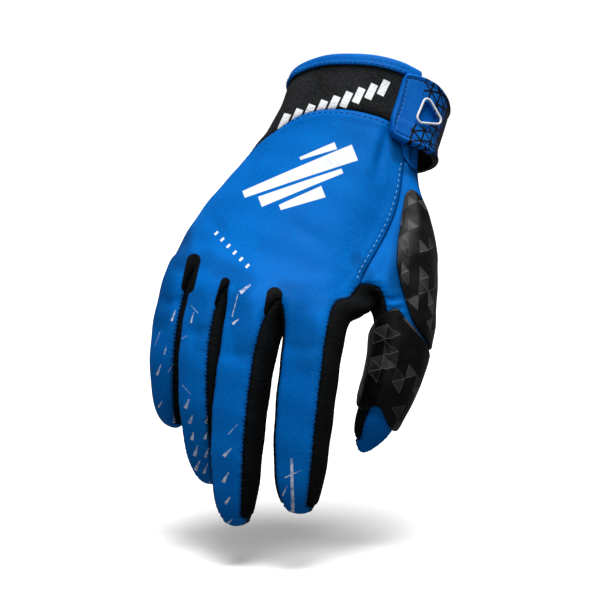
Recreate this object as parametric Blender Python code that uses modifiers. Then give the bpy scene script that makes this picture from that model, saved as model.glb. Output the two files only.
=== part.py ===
"""Motocross glove for a right hand, as worn: fingers hanging down, back of the hand facing -Y.

Metres, +Z up. The origin is the middle of the wrist opening. +X points to the thumb side,
+Y to the palm side. The glove is a shell of sewn panels: every panel is cut from one cage
of quads that is smoothed by subdivision, and gets its wall by an offset to the inside.
"""

import math

import bpy
import numpy as np
from mathutils import Vector
from mathutils.bvhtree import BVHTree

# Driving sizes of the hand shell.
CUFF_HEIGHT = 0.031  # opening to the cuff's seam, along the back
BODY_LENGTH = 0.086  # cuff seam to the web between the fingers, along the hand
HAND_BREADTH = 0.093  # across the knuckles
HAND_DEPTH = 0.031  # back to palm at the knuckles
WRIST_BREADTH = 0.060
WRIST_DEPTH = 0.045
ARCH_DROP = 0.012  # how far the sides of the knuckles fall away from their middle
FINGER_LENGTH = 0.096  # middle finger, web to tip
FINGER_BREADTH = 0.0212
FINGER_DEPTH = 0.0186
THUMB_LENGTH = 0.120  # wrist's side of the hand to the thumb's tip
THUMB_BREADTH = 0.0205
THUMB_DEPTH = 0.0195

# Cloth, leather and gaps.
WALL = 0.0013
CUFF_WALL = 0.0024
GRIP_WALL = 0.0011
SEAM_GAP = 0.0006
SEAT_GAP = 0.0008
MITRE_LIMIT = 6.0  # how much further a seam's corner may be drawn in than its sides

# Trims and closure.
BINDING_RADIUS = 0.0020
SLIT_BINDING_RADIUS = 0.0015
STRAP_WALL = 0.0022
STRAP_RISE = 0.0063  # the most that the strap stands off the cuff
WINDOW_SIDE = 0.0112
WINDOW_CORNER = 0.0012
WINDOW_RIM_RADIUS = 0.0007

SUBDIVISIONS = 1
NORMAL_ROUNDS = 3
OFFSET_STEPS = 200

# Lean of the hand's axis from the vertical, in degrees, against the share of the hand's length
# from the wrist opening to the web.
SPINE = [
    # share, lean
    (0.00, 27.0),
    (0.25, 36.0),
    (0.45, 46.0),
    (0.80, 48.0),
    (0.92, 42.0),
    (1.05, 34.0),
]

# Half breadth and half depth of the hand, as shares from the wrist's size (0) to the
# knuckles' size (1), and the middle's shift to the thumb side as a share of HAND_BREADTH.
BODY_SECTIONS = [
    # share, breadth, depth, shift
    (0.00, 0.05, 0.00, 0.00),
    (0.25, 0.02, 0.00, 0.00),
    (0.42, 0.45, 0.20, -0.03),
    (0.58, 0.96, 0.50, -0.08),
    (0.75, 1.16, 0.80, -0.12),
    (0.90, 1.10, 1.00, -0.11),
    (1.00, 1.02, 1.15, -0.10),
]

# The loop of 28 columns round the hand. Columns 0 to 12 cross the back from the little
# finger's side to the thumb's side; 3, 6 and 9 run down to the webs. Their place is a share
# of the half breadth.
BACK_COLUMNS = [-0.92, -0.79, -0.63, -0.47, -0.32, -0.16, 0.00, 0.17, 0.33, 0.50, 0.66, 0.81, 0.94]
FINGER_COLUMNS = 3
LAST_BACK = 12
THUMB_SIDE = 13
LAST_PALM = 26
LITTLE_SIDE = 27
LOOP = 28

# Rows along the hand. The cuff's rows are shares of its height, the body's of its length.
CUFF_ROWS = [0.20, 0.60, 1.0]
BODY_ROWS = [0.16, 0.36, 0.57, 0.76, 0.89, 1.0]
THUMB_SEAM_ROWS = [0.16, 0.40, 0.65, 0.88, 0.95, 1.0]  # the same down the seam with the thumb
CUFF_SEAM_ROW = 2
THUMB_TOP_ROW = 3
THUMB_WEB_ROW = 6
WEB_ROW = 8
THUMB_LAST_COLUMN = 16
THUMB_BACK_EDGES = THUMB_WEB_ROW - THUMB_TOP_ROW

# Where the cuff's seam runs on the back and where the webs lie, as extra lengths in shares
# of CUFF_HEIGHT and BODY_LENGTH, at the back's columns.
CUFF_SEAM_DROP = [0.75, 0.58, 0.40, 0.26, 0.15, 0.07, 0.02, 0.0, 0.0, 0.0, 0.0, 0.0, 0.0]
WEB_DROP = [-0.17, -0.16, -0.15, -0.11, -0.07, -0.04, -0.01, 0.02, 0.04, 0.03, 0.02, 0.01, 0.00]
PALM_WEB_DROP = 0.05
PALM_TAPER = 0.42  # how much thinner the palm's half gets on its way to the webs
SEAM_LEAN = 0.14  # how far the back's seam with the thumb runs in towards the knuckles
SEAM_BULGE = 0.05  # how far that seam swings out above the thumb's root, and where it is back
BULGE_END = 0.85  # as a share of BODY_LENGTH

# The fingers, little finger first: breadths and depths as shares of FINGER_BREADTH and
# FINGER_DEPTH, and the roll of the section towards the thumb, in degrees.
FINGERS = [
    # name, breadth, depth, roll
    ("little", 0.88, 0.90, -9.0),
    ("ring", 0.93, 0.96, -4.0),
    ("middle", 1.00, 1.00, 0.0),
    ("index", 1.04, 1.02, 8.0),
]

# Places on the axes of the fingers and the thumb from hand to tip, from the hand's own axis
# at the webs for the fingers and at half its length for the thumb. They are shares: across
# of HAND_BREADTH, towards the palm and up of FINGER_LENGTH or THUMB_LENGTH.
DIGIT_PATHS = {
    # across, towards the palm, up
    "little": [(-0.419, 0.067, 0.131), (-0.430, -0.037, -0.046), (-0.419, -0.100, -0.244),
               (-0.430, -0.079, -0.431), (-0.430, -0.048, -0.525)],
    "ring": [(-0.215, -0.037, 0.079), (-0.215, -0.141, -0.087), (-0.186, -0.225, -0.275),
             (-0.163, -0.235, -0.525), (-0.161, -0.183, -0.712)],
    "middle": [(0.011, -0.100, 0.027), (0.020, -0.204, -0.160), (0.031, -0.277, -0.348),
               (0.037, -0.329, -0.619), (0.054, -0.339, -0.837)],
    "index": [(0.258, -0.037, 0.006), (0.280, -0.141, -0.150), (0.290, -0.204, -0.327),
              (0.296, -0.266, -0.598), (0.301, -0.277, -0.775)],
    "thumb": [(0.323, 0.090, 0.038), (0.387, 0.015, -0.095), (0.441, -0.068, -0.253),
              (0.473, -0.135, -0.403), (0.462, -0.177, -0.562), (0.398, -0.210, -0.703),
              (0.344, -0.235, -0.812)],
}

# Rings along a finger: share of its length, and breadth and depth as shares of its own.
FINGER_RINGS = [
    # along, breadth, depth
    (0.18, 1.00, 1.02),
    (0.40, 1.00, 1.00),
    (0.64, 0.94, 0.95),
    (0.86, 0.82, 0.80),
    (0.965, 0.52, 0.50),
]
TIP_ALONG = 1.0

# A finger's section at ten points: across and out of the back, as shares of the half
# breadth and half depth. The back's seams are at points 0 and 3, the palm's at 5 and 8.
FINGER_SECTION = [
    (-0.88, 0.66),
    (-0.34, 1.00),
    (0.24, 1.02),
    (0.68, 0.88),
    (1.03, 0.14),
    (0.75, -0.72),
    (0.30, -1.00),
    (-0.30, -1.00),
    (-0.75, -0.72),
    (-1.00, 0.00),
]
CAGE_FULLNESS = 1.065  # makes up for what subdivision rounds off

# Rings along the thumb: share of its path, breadth and depth as shares of its own, how far
# the ring has turned from the hole's shape (0) to a rounded section (1), and how far its side
# at the web runs ahead, as a share of THUMB_BREADTH.
THUMB_RINGS = [
    # along, breadth, depth, roundness, ahead
    (0.27, 1.35, 1.20, 0.50, 0.75),
    (0.40, 1.20, 1.15, 0.80, 0.58),
    (0.53, 1.10, 1.08, 1.00, 0.28),
    (0.68, 0.98, 0.98, 1.00, 0.06),
    (0.81, 0.88, 0.86, 1.00, 0.00),
    (0.91, 0.70, 0.66, 1.00, 0.00),
    (0.965, 0.44, 0.40, 1.00, 0.00),
]
HOLE_PULL = 0.35  # how far the hole's shape follows the thumb's axis
THUMB_FACING = -55.0  # the thumb nail's heading in degrees from +X towards +Y

# Grip patches laid on the thumb: where each starts and ends along the thumb's path, at
# turns round it from the side of the index finger (0) over the nail's side (90).
THUMB_PATCH = [
    # turn, start, end
    (-36.0, 0.62, 0.79),
    (-10.0, 0.585, 0.83),
    (15.0, 0.56, 0.86),
    (40.0, 0.53, 0.86),
    (62.0, 0.50, 0.825),
    (80.0, 0.535, 0.825),
    (100.0, 0.555, 0.85),
    (124.0, 0.585, 0.875),
    (148.0, 0.61, 0.885),
    (166.0, 0.63, 0.88),
]
THENAR_PATCH = [
    # turn, start, end
    (60.0, 0.28, 0.37),
    (68.0, 0.17, 0.43),
    (80.0, 0.095, 0.48),
    (98.0, 0.075, 0.54),
    (122.0, 0.11, 0.575),
    (148.0, 0.20, 0.60),
    (175.0, 0.30, 0.615),
    (198.0, 0.38, 0.60),
]
PATCH_ROWS = 8

# The strap's course round the wrist: turns from the thumb's side (0) over the back (90),
# how far the strap lies off the cuff there as a share of STRAP_RISE, and how far from the
# opening its upper and lower edges run as shares of CUFF_HEIGHT.
STRAP_COURSE = [
    # turn, stand off, upper edge, lower edge
    (36.0, 0.01, 0.325, 1.190),
    (33.5, 0.03, 0.250, 1.250),
    (26.0, 0.13, 0.225, 1.270),
    (18.0, 0.40, 0.225, 1.270),
    (9.0, 0.80, 0.245, 1.250),
    (0.0, 1.00, 0.295, 1.225),
    (-7.0, 0.95, 0.330, 1.200),
    (-14.0, 0.86, 0.360, 1.170),
    (-22.0, 0.70, 0.360, 1.145),
    (-32.0, 0.43, 0.360, 1.110),
    (-45.0, 0.10, 0.360, 1.085),
    (-60.0, 0.01, 0.360, 1.070),
]
STRAP_ROWS = 5
WINDOW_TURN = 10.5
WINDOW_TILT = 25.0  # how far its tip leans back from the strap's upright, in degrees
WINDOW_PLACE = 0.72  # the window's middle from the opening, as a share of CUFF_HEIGHT


def unit(vector):
    return vector / max(float(np.linalg.norm(vector)), 1e-12)


def between(table, share):
    """The table's values at a share of its first column, joined by straight lines."""
    rows = np.array(table, float)
    return [float(np.interp(share, rows[:, 0], column)) for column in rows[:, 1:].T]


HAND_LENGTH = CUFF_HEIGHT + BODY_LENGTH


def spine_walk():
    """Lengths along the hand's axis, the axis's points there and its leans."""
    lengths = np.linspace(0.0, 1.25 * HAND_LENGTH, OFFSET_STEPS)
    leans = np.radians([between(SPINE, a / HAND_LENGTH)[0] for a in lengths])
    step = lengths[1] - lengths[0]
    way = np.stack([-np.sin(leans), -np.cos(leans)], axis=1)
    middle = (way[1:] + way[:-1]) / 2
    points = np.vstack([[0.0, 0.0], np.cumsum(middle * step, axis=0)])
    return lengths, points, leans


SPINE_LENGTHS, SPINE_POINTS, SPINE_LEANS = spine_walk()


def spine_at(length):
    """(point on the axis, the axis's direction, the direction out of the back)."""
    y = float(np.interp(length, SPINE_LENGTHS, SPINE_POINTS[:, 0]))
    z = float(np.interp(length, SPINE_LENGTHS, SPINE_POINTS[:, 1]))
    lean = float(np.interp(length, SPINE_LENGTHS, SPINE_LEANS))
    down = np.array([0.0, -math.sin(lean), -math.cos(lean)])
    out = np.array([0.0, -math.cos(lean), math.sin(lean)])
    return np.array([0.0, y, z]), down, out


def hand_sizes(length):
    """Half breadth, half depth and shift of the hand at a length from the opening."""
    breadth, depth, shift = between(BODY_SECTIONS, length / HAND_LENGTH)
    half_breadth = (WRIST_BREADTH + breadth * (HAND_BREADTH - WRIST_BREADTH)) / 2
    half_depth = (WRIST_DEPTH + depth * (HAND_DEPTH - WRIST_DEPTH)) / 2
    return half_breadth, half_depth, shift * HAND_BREADTH


def arch(across, length):
    """How far the hand's section falls towards the palm at a place across it."""
    opened = min(1.0, max(0.0, (length - CUFF_HEIGHT) / (0.7 * BODY_LENGTH)))
    return ARCH_DROP * opened * across**2


def hand_point(length, across, out_share):
    """A point of the hand's section. across and out_share run from -1 to 1."""
    middle, _, out = spine_at(length)
    half_breadth, half_depth, shift = hand_sizes(length)
    if 0.6 < across < 1.0 and out_share > 0:
        across -= SEAM_LEAN * (across - 0.6) / 0.4 * max(0.0, length / HAND_LENGTH - 0.3)
    if out_share < 0:
        half_depth *= 1.0 - PALM_TAPER * min(1.0, max(0.0, length / HAND_LENGTH - 0.72) / 0.25)
    height = out_share * half_depth - arch(across, length)
    return middle + np.array([shift + across * half_breadth, 0.0, 0.0]) + height * out


def section_rise(across):
    """Height of the hand's rounded section at a place across it, as a share."""
    power = 2.4
    return (1.0 - min(1.0, abs(across)) ** power) ** (1.0 / power)


def column_place(column):
    """(across, out share, column on the back that gives its rows) of a loop's column."""
    if column <= LAST_BACK:
        across = BACK_COLUMNS[column]
        return across, section_rise(across), column
    if column == THUMB_SIDE:
        return 1.0, 0.0, LAST_BACK
    if column == LITTLE_SIDE:
        return -1.0, 0.0, 0
    back = LAST_PALM - column
    across = BACK_COLUMNS[back]
    return across, -section_rise(across), back


def row_length(row, column):
    """Length from the opening of a row at a column."""
    _, out_share, back = column_place(column)
    seam = CUFF_HEIGHT * (1.0 + CUFF_SEAM_DROP[back] * (1.0 if out_share >= 0 else 0.4))
    if row <= CUFF_SEAM_ROW:
        return seam * CUFF_ROWS[row]
    web_drop = WEB_DROP[back] + (PALM_WEB_DROP if out_share < 0 else 0.0)
    web = CUFF_HEIGHT + BODY_LENGTH * (1.0 + web_drop)
    rows = THUMB_SEAM_ROWS if column == LAST_BACK else BODY_ROWS
    return seam + rows[row - THUMB_TOP_ROW] * (web - seam)


def seam_bulge(length):
    """How much further out the thumb's seam lies across the hand: half a sine wave."""
    share = (length - CUFF_HEIGHT) / (BULGE_END * BODY_LENGTH)
    return SEAM_BULGE * math.sin(math.pi * min(1.0, max(0.0, share)))


class Axis:
    """The line that a finger or the thumb follows, by share of its length."""

    def __init__(self, name):
        thumb = name == "thumb"
        reach = THUMB_LENGTH if thumb else FINGER_LENGTH
        root, _, _ = spine_at(HAND_LENGTH * (0.5 if thumb else 1.0))
        self.path = root + np.array(DIGIT_PATHS[name]) * [HAND_BREADTH, reach, reach]
        steps = np.linalg.norm(np.diff(self.path, axis=0), axis=1)
        self.shares = np.concatenate([[0.0], np.cumsum(steps) / steps.sum()])

    def place(self, share):
        return np.array([np.interp(share, self.shares, axis) for axis in self.path.T])

    def at(self, share, facing):
        """(point, sideways, out): out is the heading, squared off to the axis."""
        ahead = unit(self.place(min(share + 0.12, 1.0)) - self.place(max(share - 0.12, 0.0)))
        out = np.array([math.cos(facing), math.sin(facing), 0.0])
        out = unit(out - out @ ahead * ahead)
        return self.place(share), np.cross(out, ahead), out


class Finger(Axis):
    """One finger's axis and sections, from the tables."""

    def __init__(self, order):
        name, breadth, depth, roll = FINGERS[order]
        super().__init__(name)
        self.half_breadth = CAGE_FULLNESS * breadth * FINGER_BREADTH / 2
        self.half_depth = CAGE_FULLNESS * depth * FINGER_DEPTH / 2
        self.facing = math.radians(roll - 90.0)
        first = FINGER_COLUMNS * order
        self.columns = list(range(first, first + FINGER_COLUMNS + 1))

    def ring(self, share, breadth, depth):
        """The ten points of a section."""
        middle, across, out = self.at(share, self.facing)
        return [
            middle + breadth * self.half_breadth * side * across + depth * self.half_depth * rise * out
            for side, rise in FINGER_SECTION
        ]

    def cap(self):
        """The two points inside the last ring, that close the tip."""
        middle, across, _ = self.at(TIP_ALONG, self.facing)
        breadth = FINGER_RINGS[-1][1] * self.half_breadth * 0.33
        return [middle - breadth * across, middle + breadth * across]


class Cage:
    """Points and quads of the coarse glove, with the panel that each quad belongs to."""

    def __init__(self):
        self.points = []
        self.faces = []
        self.panels = []

    def point(self, place):
        self.points.append(np.array(place, float))
        return len(self.points) - 1

    def quad(self, panel, *corners):
        self.faces.append(corners)
        self.panels.append(panel)

    def strip(self, panels, upper, lower):
        """Quads between two rows of points, that run clockwise seen from the upper row."""
        for i, panel in enumerate(panels):
            if panel is not None:
                j = (i + 1) % len(upper)
                self.quad(panel, upper[i], lower[i], lower[j], upper[j])


BACK, PALM, THUMB_GUSSET, THUMB_BACK, THUMB_PALM, CUFF = (
    "back_panel",
    "palm_panel",
    "thumb_gusset",
    "thumb_back",
    "thumb_palm",
    "cuff_band",
)
SIDE_WALLS = ["fourchette_little_ring", "fourchette_ring_middle", "fourchette_middle_index"]


def loop_panel(row, column):
    """The panel of the hand's quad below a row and past a column, or None where it is open."""
    slit = column == LAST_BACK
    if row < CUFF_SEAM_ROW:
        return None if slit else CUFF
    if row < THUMB_TOP_ROW and column in (LAST_BACK, THUMB_SIDE):
        return None if slit else THUMB_BACK
    in_hole = THUMB_TOP_ROW <= row < THUMB_WEB_ROW and LAST_BACK <= column < THUMB_LAST_COLUMN
    if in_hole:
        return None
    if column < LAST_BACK or column == LITTLE_SIDE:
        return BACK
    if column in (LAST_BACK, THUMB_SIDE):
        return THUMB_GUSSET
    return PALM


def web_points(fingers):
    """The last row of the hand: the finger's bases, with shared points at the webs."""
    places = {}
    for order, finger in enumerate(fingers):
        ring = finger.ring(0.0, 1.02, 1.10)
        backs = finger.columns
        palms = [LAST_PALM - c for c in backs]
        for column, place in zip(backs, ring[:4]):
            places.setdefault(column, []).append(place)
        for column, place in zip(palms[::-1], ring[5:9]):
            places.setdefault(column, []).append(place)
        if order == len(fingers) - 1:
            places[THUMB_SIDE] = [ring[4]]
        if order == 0:
            places[LITTLE_SIDE] = [ring[9]]
    return {column: sum(found) / len(found) for column, found in places.items()}


def build_cage():
    """The whole glove as a cage: hand, fingers and thumb."""
    cage = Cage()
    fingers = [Finger(order) for order in range(len(FINGERS))]
    bases = web_points(fingers)
    hand = []
    for row in range(WEB_ROW + 1):
        line = []
        for column in range(LOOP):
            across, out_share, _ = column_place(column)
            length = row_length(row, column)
            if column == LAST_BACK:
                across += seam_bulge(length)
                out_share = section_rise(across)
            place = hand_point(length, across, out_share)
            if row == WEB_ROW:
                place = bases[column]
            line.append(cage.point(place))
        hand.append(line)
    for row in range(WEB_ROW):
        panels = [loop_panel(row, column) for column in range(LOOP)]
        cage.strip(panels, hand[row], hand[row + 1])
    add_fingers(cage, hand, fingers)
    add_thumb(cage, hand)
    return cage, hand


def add_fingers(cage, hand, fingers):
    webs = []
    for order in range(len(fingers) - 1):
        column = FINGER_COLUMNS * (order + 1)
        back = cage.points[hand[WEB_ROW][column]]
        palm = cage.points[hand[WEB_ROW][LAST_PALM - column]]
        webs.append(cage.point((back + palm) / 2))
    for order, finger in enumerate(fingers):
        last = order == len(fingers) - 1
        thumb_wall = THUMB_GUSSET if last else SIDE_WALLS[order]
        thumb_side = hand[WEB_ROW][THUMB_SIDE] if last else webs[order]
        little_side = hand[WEB_ROW][LITTLE_SIDE] if order == 0 else webs[order - 1]
        backs = [hand[WEB_ROW][c] for c in finger.columns]
        palms = [hand[WEB_ROW][LAST_PALM - c] for c in finger.columns]
        upper = backs + [thumb_side] + palms[::-1] + [little_side]
        little_walls = [PALM, BACK] if order == 0 else [SIDE_WALLS[order - 1]] * 2
        panels = [BACK] * 3 + [thumb_wall] * 2 + [PALM] * 3 + little_walls
        for share, breadth, depth in FINGER_RINGS:
            lower = [cage.point(p) for p in finger.ring(share, breadth, depth)]
            cage.strip(panels, upper, lower)
            upper = lower
        close_tip(cage, upper, [cage.point(p) for p in finger.cap()])


def close_tip(cage, ring, inner):
    """Six quads that close a finger's last ring over two inner points."""
    d0, d1, d2, d3, thumb_side, p3, p2, p1, p0, little_side = ring
    little, thumb = inner
    cage.quad(BACK, d0, little_side, little, d1)
    cage.quad(BACK, d1, little, thumb, d2)
    cage.quad(BACK, d2, thumb, thumb_side, d3)
    cage.quad(PALM, little_side, p0, p1, little)
    cage.quad(PALM, little, p1, p2, thumb)
    cage.quad(PALM, thumb, p2, p3, thumb_side)


def thumb_hole(hand):
    """The ring of points round the thumb's hole, from its wrist end down the back's side."""
    rows = range(THUMB_TOP_ROW, THUMB_WEB_ROW + 1)
    back = [hand[row][LAST_BACK] for row in rows]
    web = [hand[THUMB_WEB_ROW][c] for c in range(THUMB_SIDE, THUMB_LAST_COLUMN + 1)]
    palm = [hand[row][THUMB_LAST_COLUMN] for row in reversed(rows)][1:]
    wrist = [hand[THUMB_TOP_ROW][c] for c in range(THUMB_LAST_COLUMN - 1, LAST_BACK, -1)]
    return back + web + palm + wrist


def thumb_ring(hole_points, order):
    """One ring of the thumb: the hole's shape at the base turns into a rounded section."""
    along, breadth, depth, roundness, ahead = THUMB_RINGS[order]
    middle, sideways, out = Axis("thumb").at(along, math.radians(THUMB_FACING))
    onward = np.cross(sideways, out)
    count = len(hole_points)
    power = 2.0 / 2.4
    points, shifts = [], []
    for i in range(count):
        turn = math.radians(90.0 - 360.0 * (i - THUMB_BACK_EDGES / 2) / count)
        side = math.copysign(abs(math.cos(turn)) ** power, math.cos(turn))
        rise = math.copysign(abs(math.sin(turn)) ** power, math.sin(turn))
        reach = rise * depth * THUMB_DEPTH / 2 * out - side * breadth * THUMB_BREADTH / 2 * sideways
        points.append(middle + reach)
        web_side = max(0.0, math.cos(turn))
        shifts.append(ahead * THUMB_BREADTH * web_side * onward)
    hole = np.array(hole_points) + HOLE_PULL * (middle - np.mean(hole_points, axis=0))
    return roundness * np.array(points) + (1.0 - roundness) * hole + np.array(shifts)


def add_thumb(cage, hand):
    upper = thumb_hole(hand)
    hole_points = [cage.points[i] for i in upper]
    web_edges = THUMB_LAST_COLUMN - LAST_BACK
    panels = [THUMB_BACK] * THUMB_BACK_EDGES + [THUMB_GUSSET] * web_edges
    panels += [THUMB_PALM] * (THUMB_BACK_EDGES + web_edges - 2) + [THUMB_BACK] * 2
    for order in range(len(THUMB_RINGS)):
        lower = [cage.point(p) for p in thumb_ring(hole_points, order)]
        cage.strip(panels[::-1], upper[::-1][-1:] + upper[::-1][:-1], lower[::-1][-1:] + lower[::-1][:-1])
        upper = lower
    close_thumb(cage, upper)


def close_thumb(cage, ring):
    """A grid of quads over the thumb's last ring."""
    tall, wide = THUMB_BACK_EDGES, THUMB_LAST_COLUMN - LAST_BACK
    corners = np.array([cage.points[i] for i in ring])
    bulge = Axis("thumb").place(1.0) - corners.mean(axis=0)
    rows = [[None] * (tall + 1) for _ in range(wide + 1)]
    rows[0] = ring[: tall + 1]
    rows[wide] = ring[tall + wide : 2 * tall + wide + 1][::-1]
    for i in range(1, wide):
        rows[i][tall] = ring[tall + i]
        rows[i][0] = ring[-i]
        for j in range(1, tall):
            left, right = cage.points[rows[i][0]], cage.points[ring[tall + i]]
            top, bottom = cage.points[rows[0][j]], cage.points[rows[wide][j]]
            flat = (left + (right - left) * j / tall + top + (bottom - top) * i / wide) / 2
            rows[i][j] = cage.point(flat + bulge)
    for i in range(wide):
        for j in range(tall):
            panel = THUMB_BACK if i < wide / 2 else THUMB_PALM
            cage.quad(panel, rows[i][j], rows[i][j + 1], rows[i + 1][j + 1], rows[i + 1][j])


def smooth_glove(cage):
    """The cage after subdivision, as points, normals and quads grouped by panel."""
    names = sorted(set(cage.panels))
    mesh = bpy.data.meshes.new("glove_cage")
    mesh.from_pydata([tuple(p) for p in cage.points], [], cage.faces)
    mesh.polygons.foreach_set("material_index", [names.index(p) for p in cage.panels])
    for name in names:
        mesh.materials.append(bpy.data.materials.new(name))
    cage_object = bpy.data.objects.new("glove_cage", mesh)
    bpy.context.scene.collection.objects.link(cage_object)
    rounding = cage_object.modifiers.new("rounding", "SUBSURF")
    rounding.levels = SUBDIVISIONS
    rounding.render_levels = SUBDIVISIONS
    graph = bpy.context.evaluated_depsgraph_get()
    fine = bpy.data.meshes.new_from_object(cage_object.evaluated_get(graph))
    points = np.empty(len(fine.vertices) * 3, np.float32)
    fine.vertices.foreach_get("co", points)
    normals = np.empty(len(fine.vertices) * 3, np.float32)
    fine.vertices.foreach_get("normal", normals)
    quads = {name: [] for name in names}
    for face in fine.polygons:
        quads[names[face.material_index]].append(tuple(face.vertices))
    bpy.data.objects.remove(cage_object)
    return points.reshape(-1, 3).astype(float), normals.reshape(-1, 3).astype(float), quads


def calmed(normals, quads, rounds):
    """Normals averaged with those next to them, so that offsets don't fold at the webs."""
    for _ in range(rounds):
        total = normals.copy()
        for panel in quads.values():
            for quad in panel:
                total[list(quad)] += 0.5 * normals[list(quad)].mean(axis=0)
        normals = total / np.linalg.norm(total, axis=1, keepdims=True)
    return normals


def rim_edges(quads):
    """Directed edges that only one quad of the panel uses."""
    used = {}
    for quad in quads:
        for i in range(4):
            used[(quad[i], quad[(i + 1) % 4])] = True
    return [edge for edge in used if (edge[1], edge[0]) not in used]


def drawn_in(points, normals, quads, gap):
    """The panel's points, with its rim moved inwards by half the seam's gap all along."""
    inward = {}
    beside = {(quad[i], quad[(i + 1) % 4]): quad for quad in quads for i in range(4)}
    for a, b in rim_edges(quads):
        along = unit(points[b] - points[a])
        middle = np.mean([points[i] for i in beside[(a, b)]], axis=0)
        for i in (a, b):
            way = middle - points[i]
            way -= way @ normals[i] * normals[i]
            inward.setdefault(i, []).append(unit(way - way @ along * along))
    places = {i: points[i] for quad in quads for i in quad}
    for i, ways in inward.items():
        total = ways[0] + ways[-1]
        places[i] = points[i] + gap / 2 * total / max(1.0 + ways[0] @ ways[-1], 1.0 / MITRE_LIMIT)
    return places


def panel_solid(points, normals, quads, wall, gap):
    """A closed wall over the panel's quads, a little apart from the panels beside it."""
    outer = drawn_in(points, normals, quads, gap)
    order = {i: n for n, i in enumerate(outer)}
    count = len(order)
    places = [outer[i] for i in outer] + [outer[i] - wall * normals[i] for i in outer]
    faces = []
    for quad in quads:
        faces.append([order[i] for i in quad])
        faces.append([order[i] + count for i in reversed(quad)])
    for a, b in rim_edges(quads):
        faces.append([order[b], order[a], order[a] + count, order[b] + count])
    return places, faces


def grid_solid(outer, wall):
    """A closed wall under a grid of points; rows run along axis 0, and the outside is up."""
    down = np.gradient(outer, axis=0)
    along = np.gradient(outer, axis=1)
    normals = np.cross(down, along)
    normals /= np.linalg.norm(normals, axis=2, keepdims=True)
    rows, columns, _ = outer.shape
    places = np.concatenate([outer.reshape(-1, 3), (outer - wall * normals).reshape(-1, 3)])
    under = rows * columns
    faces = []
    for r in range(rows - 1):
        for c in range(columns - 1):
            quad = [r * columns + c, (r + 1) * columns + c, (r + 1) * columns + c + 1, r * columns + c + 1]
            faces.append(quad)
            faces.append([i + under for i in reversed(quad)])
    rim = [(0, c) for c in range(columns)] + [(r, columns - 1) for r in range(1, rows)]
    rim += [(rows - 1, c) for c in range(columns - 2, -1, -1)] + [(r, 0) for r in range(rows - 2, 0, -1)]
    ring = [r * columns + c for r, c in rim]
    for a, b in zip(ring, ring[1:] + ring[:1]):
        faces.append([a, b, b + under, a + under])
    return places, faces


def resample(table, count):
    """The table's rows at evenly spaced places between its first and last."""
    rows = np.array(table, float)
    own = np.linspace(0.0, 1.0, len(rows))
    return np.array([[np.interp(t, own, column) for column in rows.T] for t in np.linspace(0, 1, count)])


def patch_grid(tree, table, columns):
    """Points of a patch that lies on the thumb, by rays from the thumb's axis outwards."""
    axis = Axis("thumb")
    grid = []
    for step in range(PATCH_ROWS):
        row = []
        for turn, start, end in resample(table, columns):
            share = start + (end - start) * step / (PATCH_ROWS - 1)
            middle, sideways, out = axis.at(share, math.radians(THUMB_FACING))
            angle = math.radians(turn)
            way = math.sin(angle) * out - math.cos(angle) * sideways
            hit, normal, _, _ = tree.ray_cast(Vector(middle), Vector(way))
            row.append(np.array(hit) + (SEAT_GAP + GRIP_WALL) * np.array(normal))
        grid.append(row)
    return np.array(grid)


def cuff_frame(length, turn):
    """(point, outward direction) on the cuff at a turn from the thumb's side over the back."""
    angle = math.radians(turn)
    power = 2.0 / 2.4
    across = math.copysign(abs(math.cos(angle)) ** power, math.cos(angle))
    rise = math.copysign(abs(math.sin(angle)) ** power, math.sin(angle))
    _, _, out = spine_at(length)
    half_breadth, half_depth, _ = hand_sizes(length)
    steepness = 2.4 - 1.0
    lean_x = math.copysign(abs(across) ** steepness, across) / half_breadth
    lean_out = math.copysign(abs(rise) ** steepness, rise) / half_depth
    outward = unit(lean_x * np.array([1.0, 0.0, 0.0]) + lean_out * out)
    return hand_point(length, across, rise), outward


def strap_point(length, turn, lift):
    stations = np.array(STRAP_COURSE)[::-1]
    stand_off = float(np.interp(turn, stations[:, 0], stations[:, 1]))
    place, outward = cuff_frame(length, turn)
    return place + (stand_off * STRAP_RISE + lift) * outward


def strap_grid():
    grid = []
    for step in range(STRAP_ROWS):
        share = step / (STRAP_ROWS - 1)
        grid.append([
            strap_point(CUFF_HEIGHT * (top + (bottom - top) * share), turn, STRAP_WALL)
            for turn, _, top, bottom in STRAP_COURSE
        ])
    return np.array(grid)


def window_frame():
    """(middle, along the strap, up, out) of the strap's three-cornered window."""
    length = WINDOW_PLACE * CUFF_HEIGHT
    step = 0.1 * CUFF_HEIGHT
    middle = strap_point(length, WINDOW_TURN, STRAP_WALL)
    along = unit(strap_point(length, WINDOW_TURN - 6, 0) - strap_point(length, WINDOW_TURN + 6, 0))
    up = unit(strap_point(length - step, WINDOW_TURN, 0) - strap_point(length + step, WINDOW_TURN, 0))
    up = unit(up - up @ along * along)
    return middle, along, up, np.cross(along, up)


def window_outline(reach):
    """Places round the window in its own plane: a triangle with rounded corners."""
    places = []
    for corner in range(3):
        heading = math.radians(90.0 + WINDOW_TILT + 120.0 * corner)
        tip = WINDOW_SIDE / math.sqrt(3) - 2 * WINDOW_CORNER
        for turn in (-60.0, -20.0, 20.0, 60.0):
            angle = heading + math.radians(turn)
            radius = WINDOW_CORNER + reach
            places.append((tip * math.cos(heading) + radius * math.cos(angle),
                           tip * math.sin(heading) + radius * math.sin(angle)))
    return places


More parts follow.
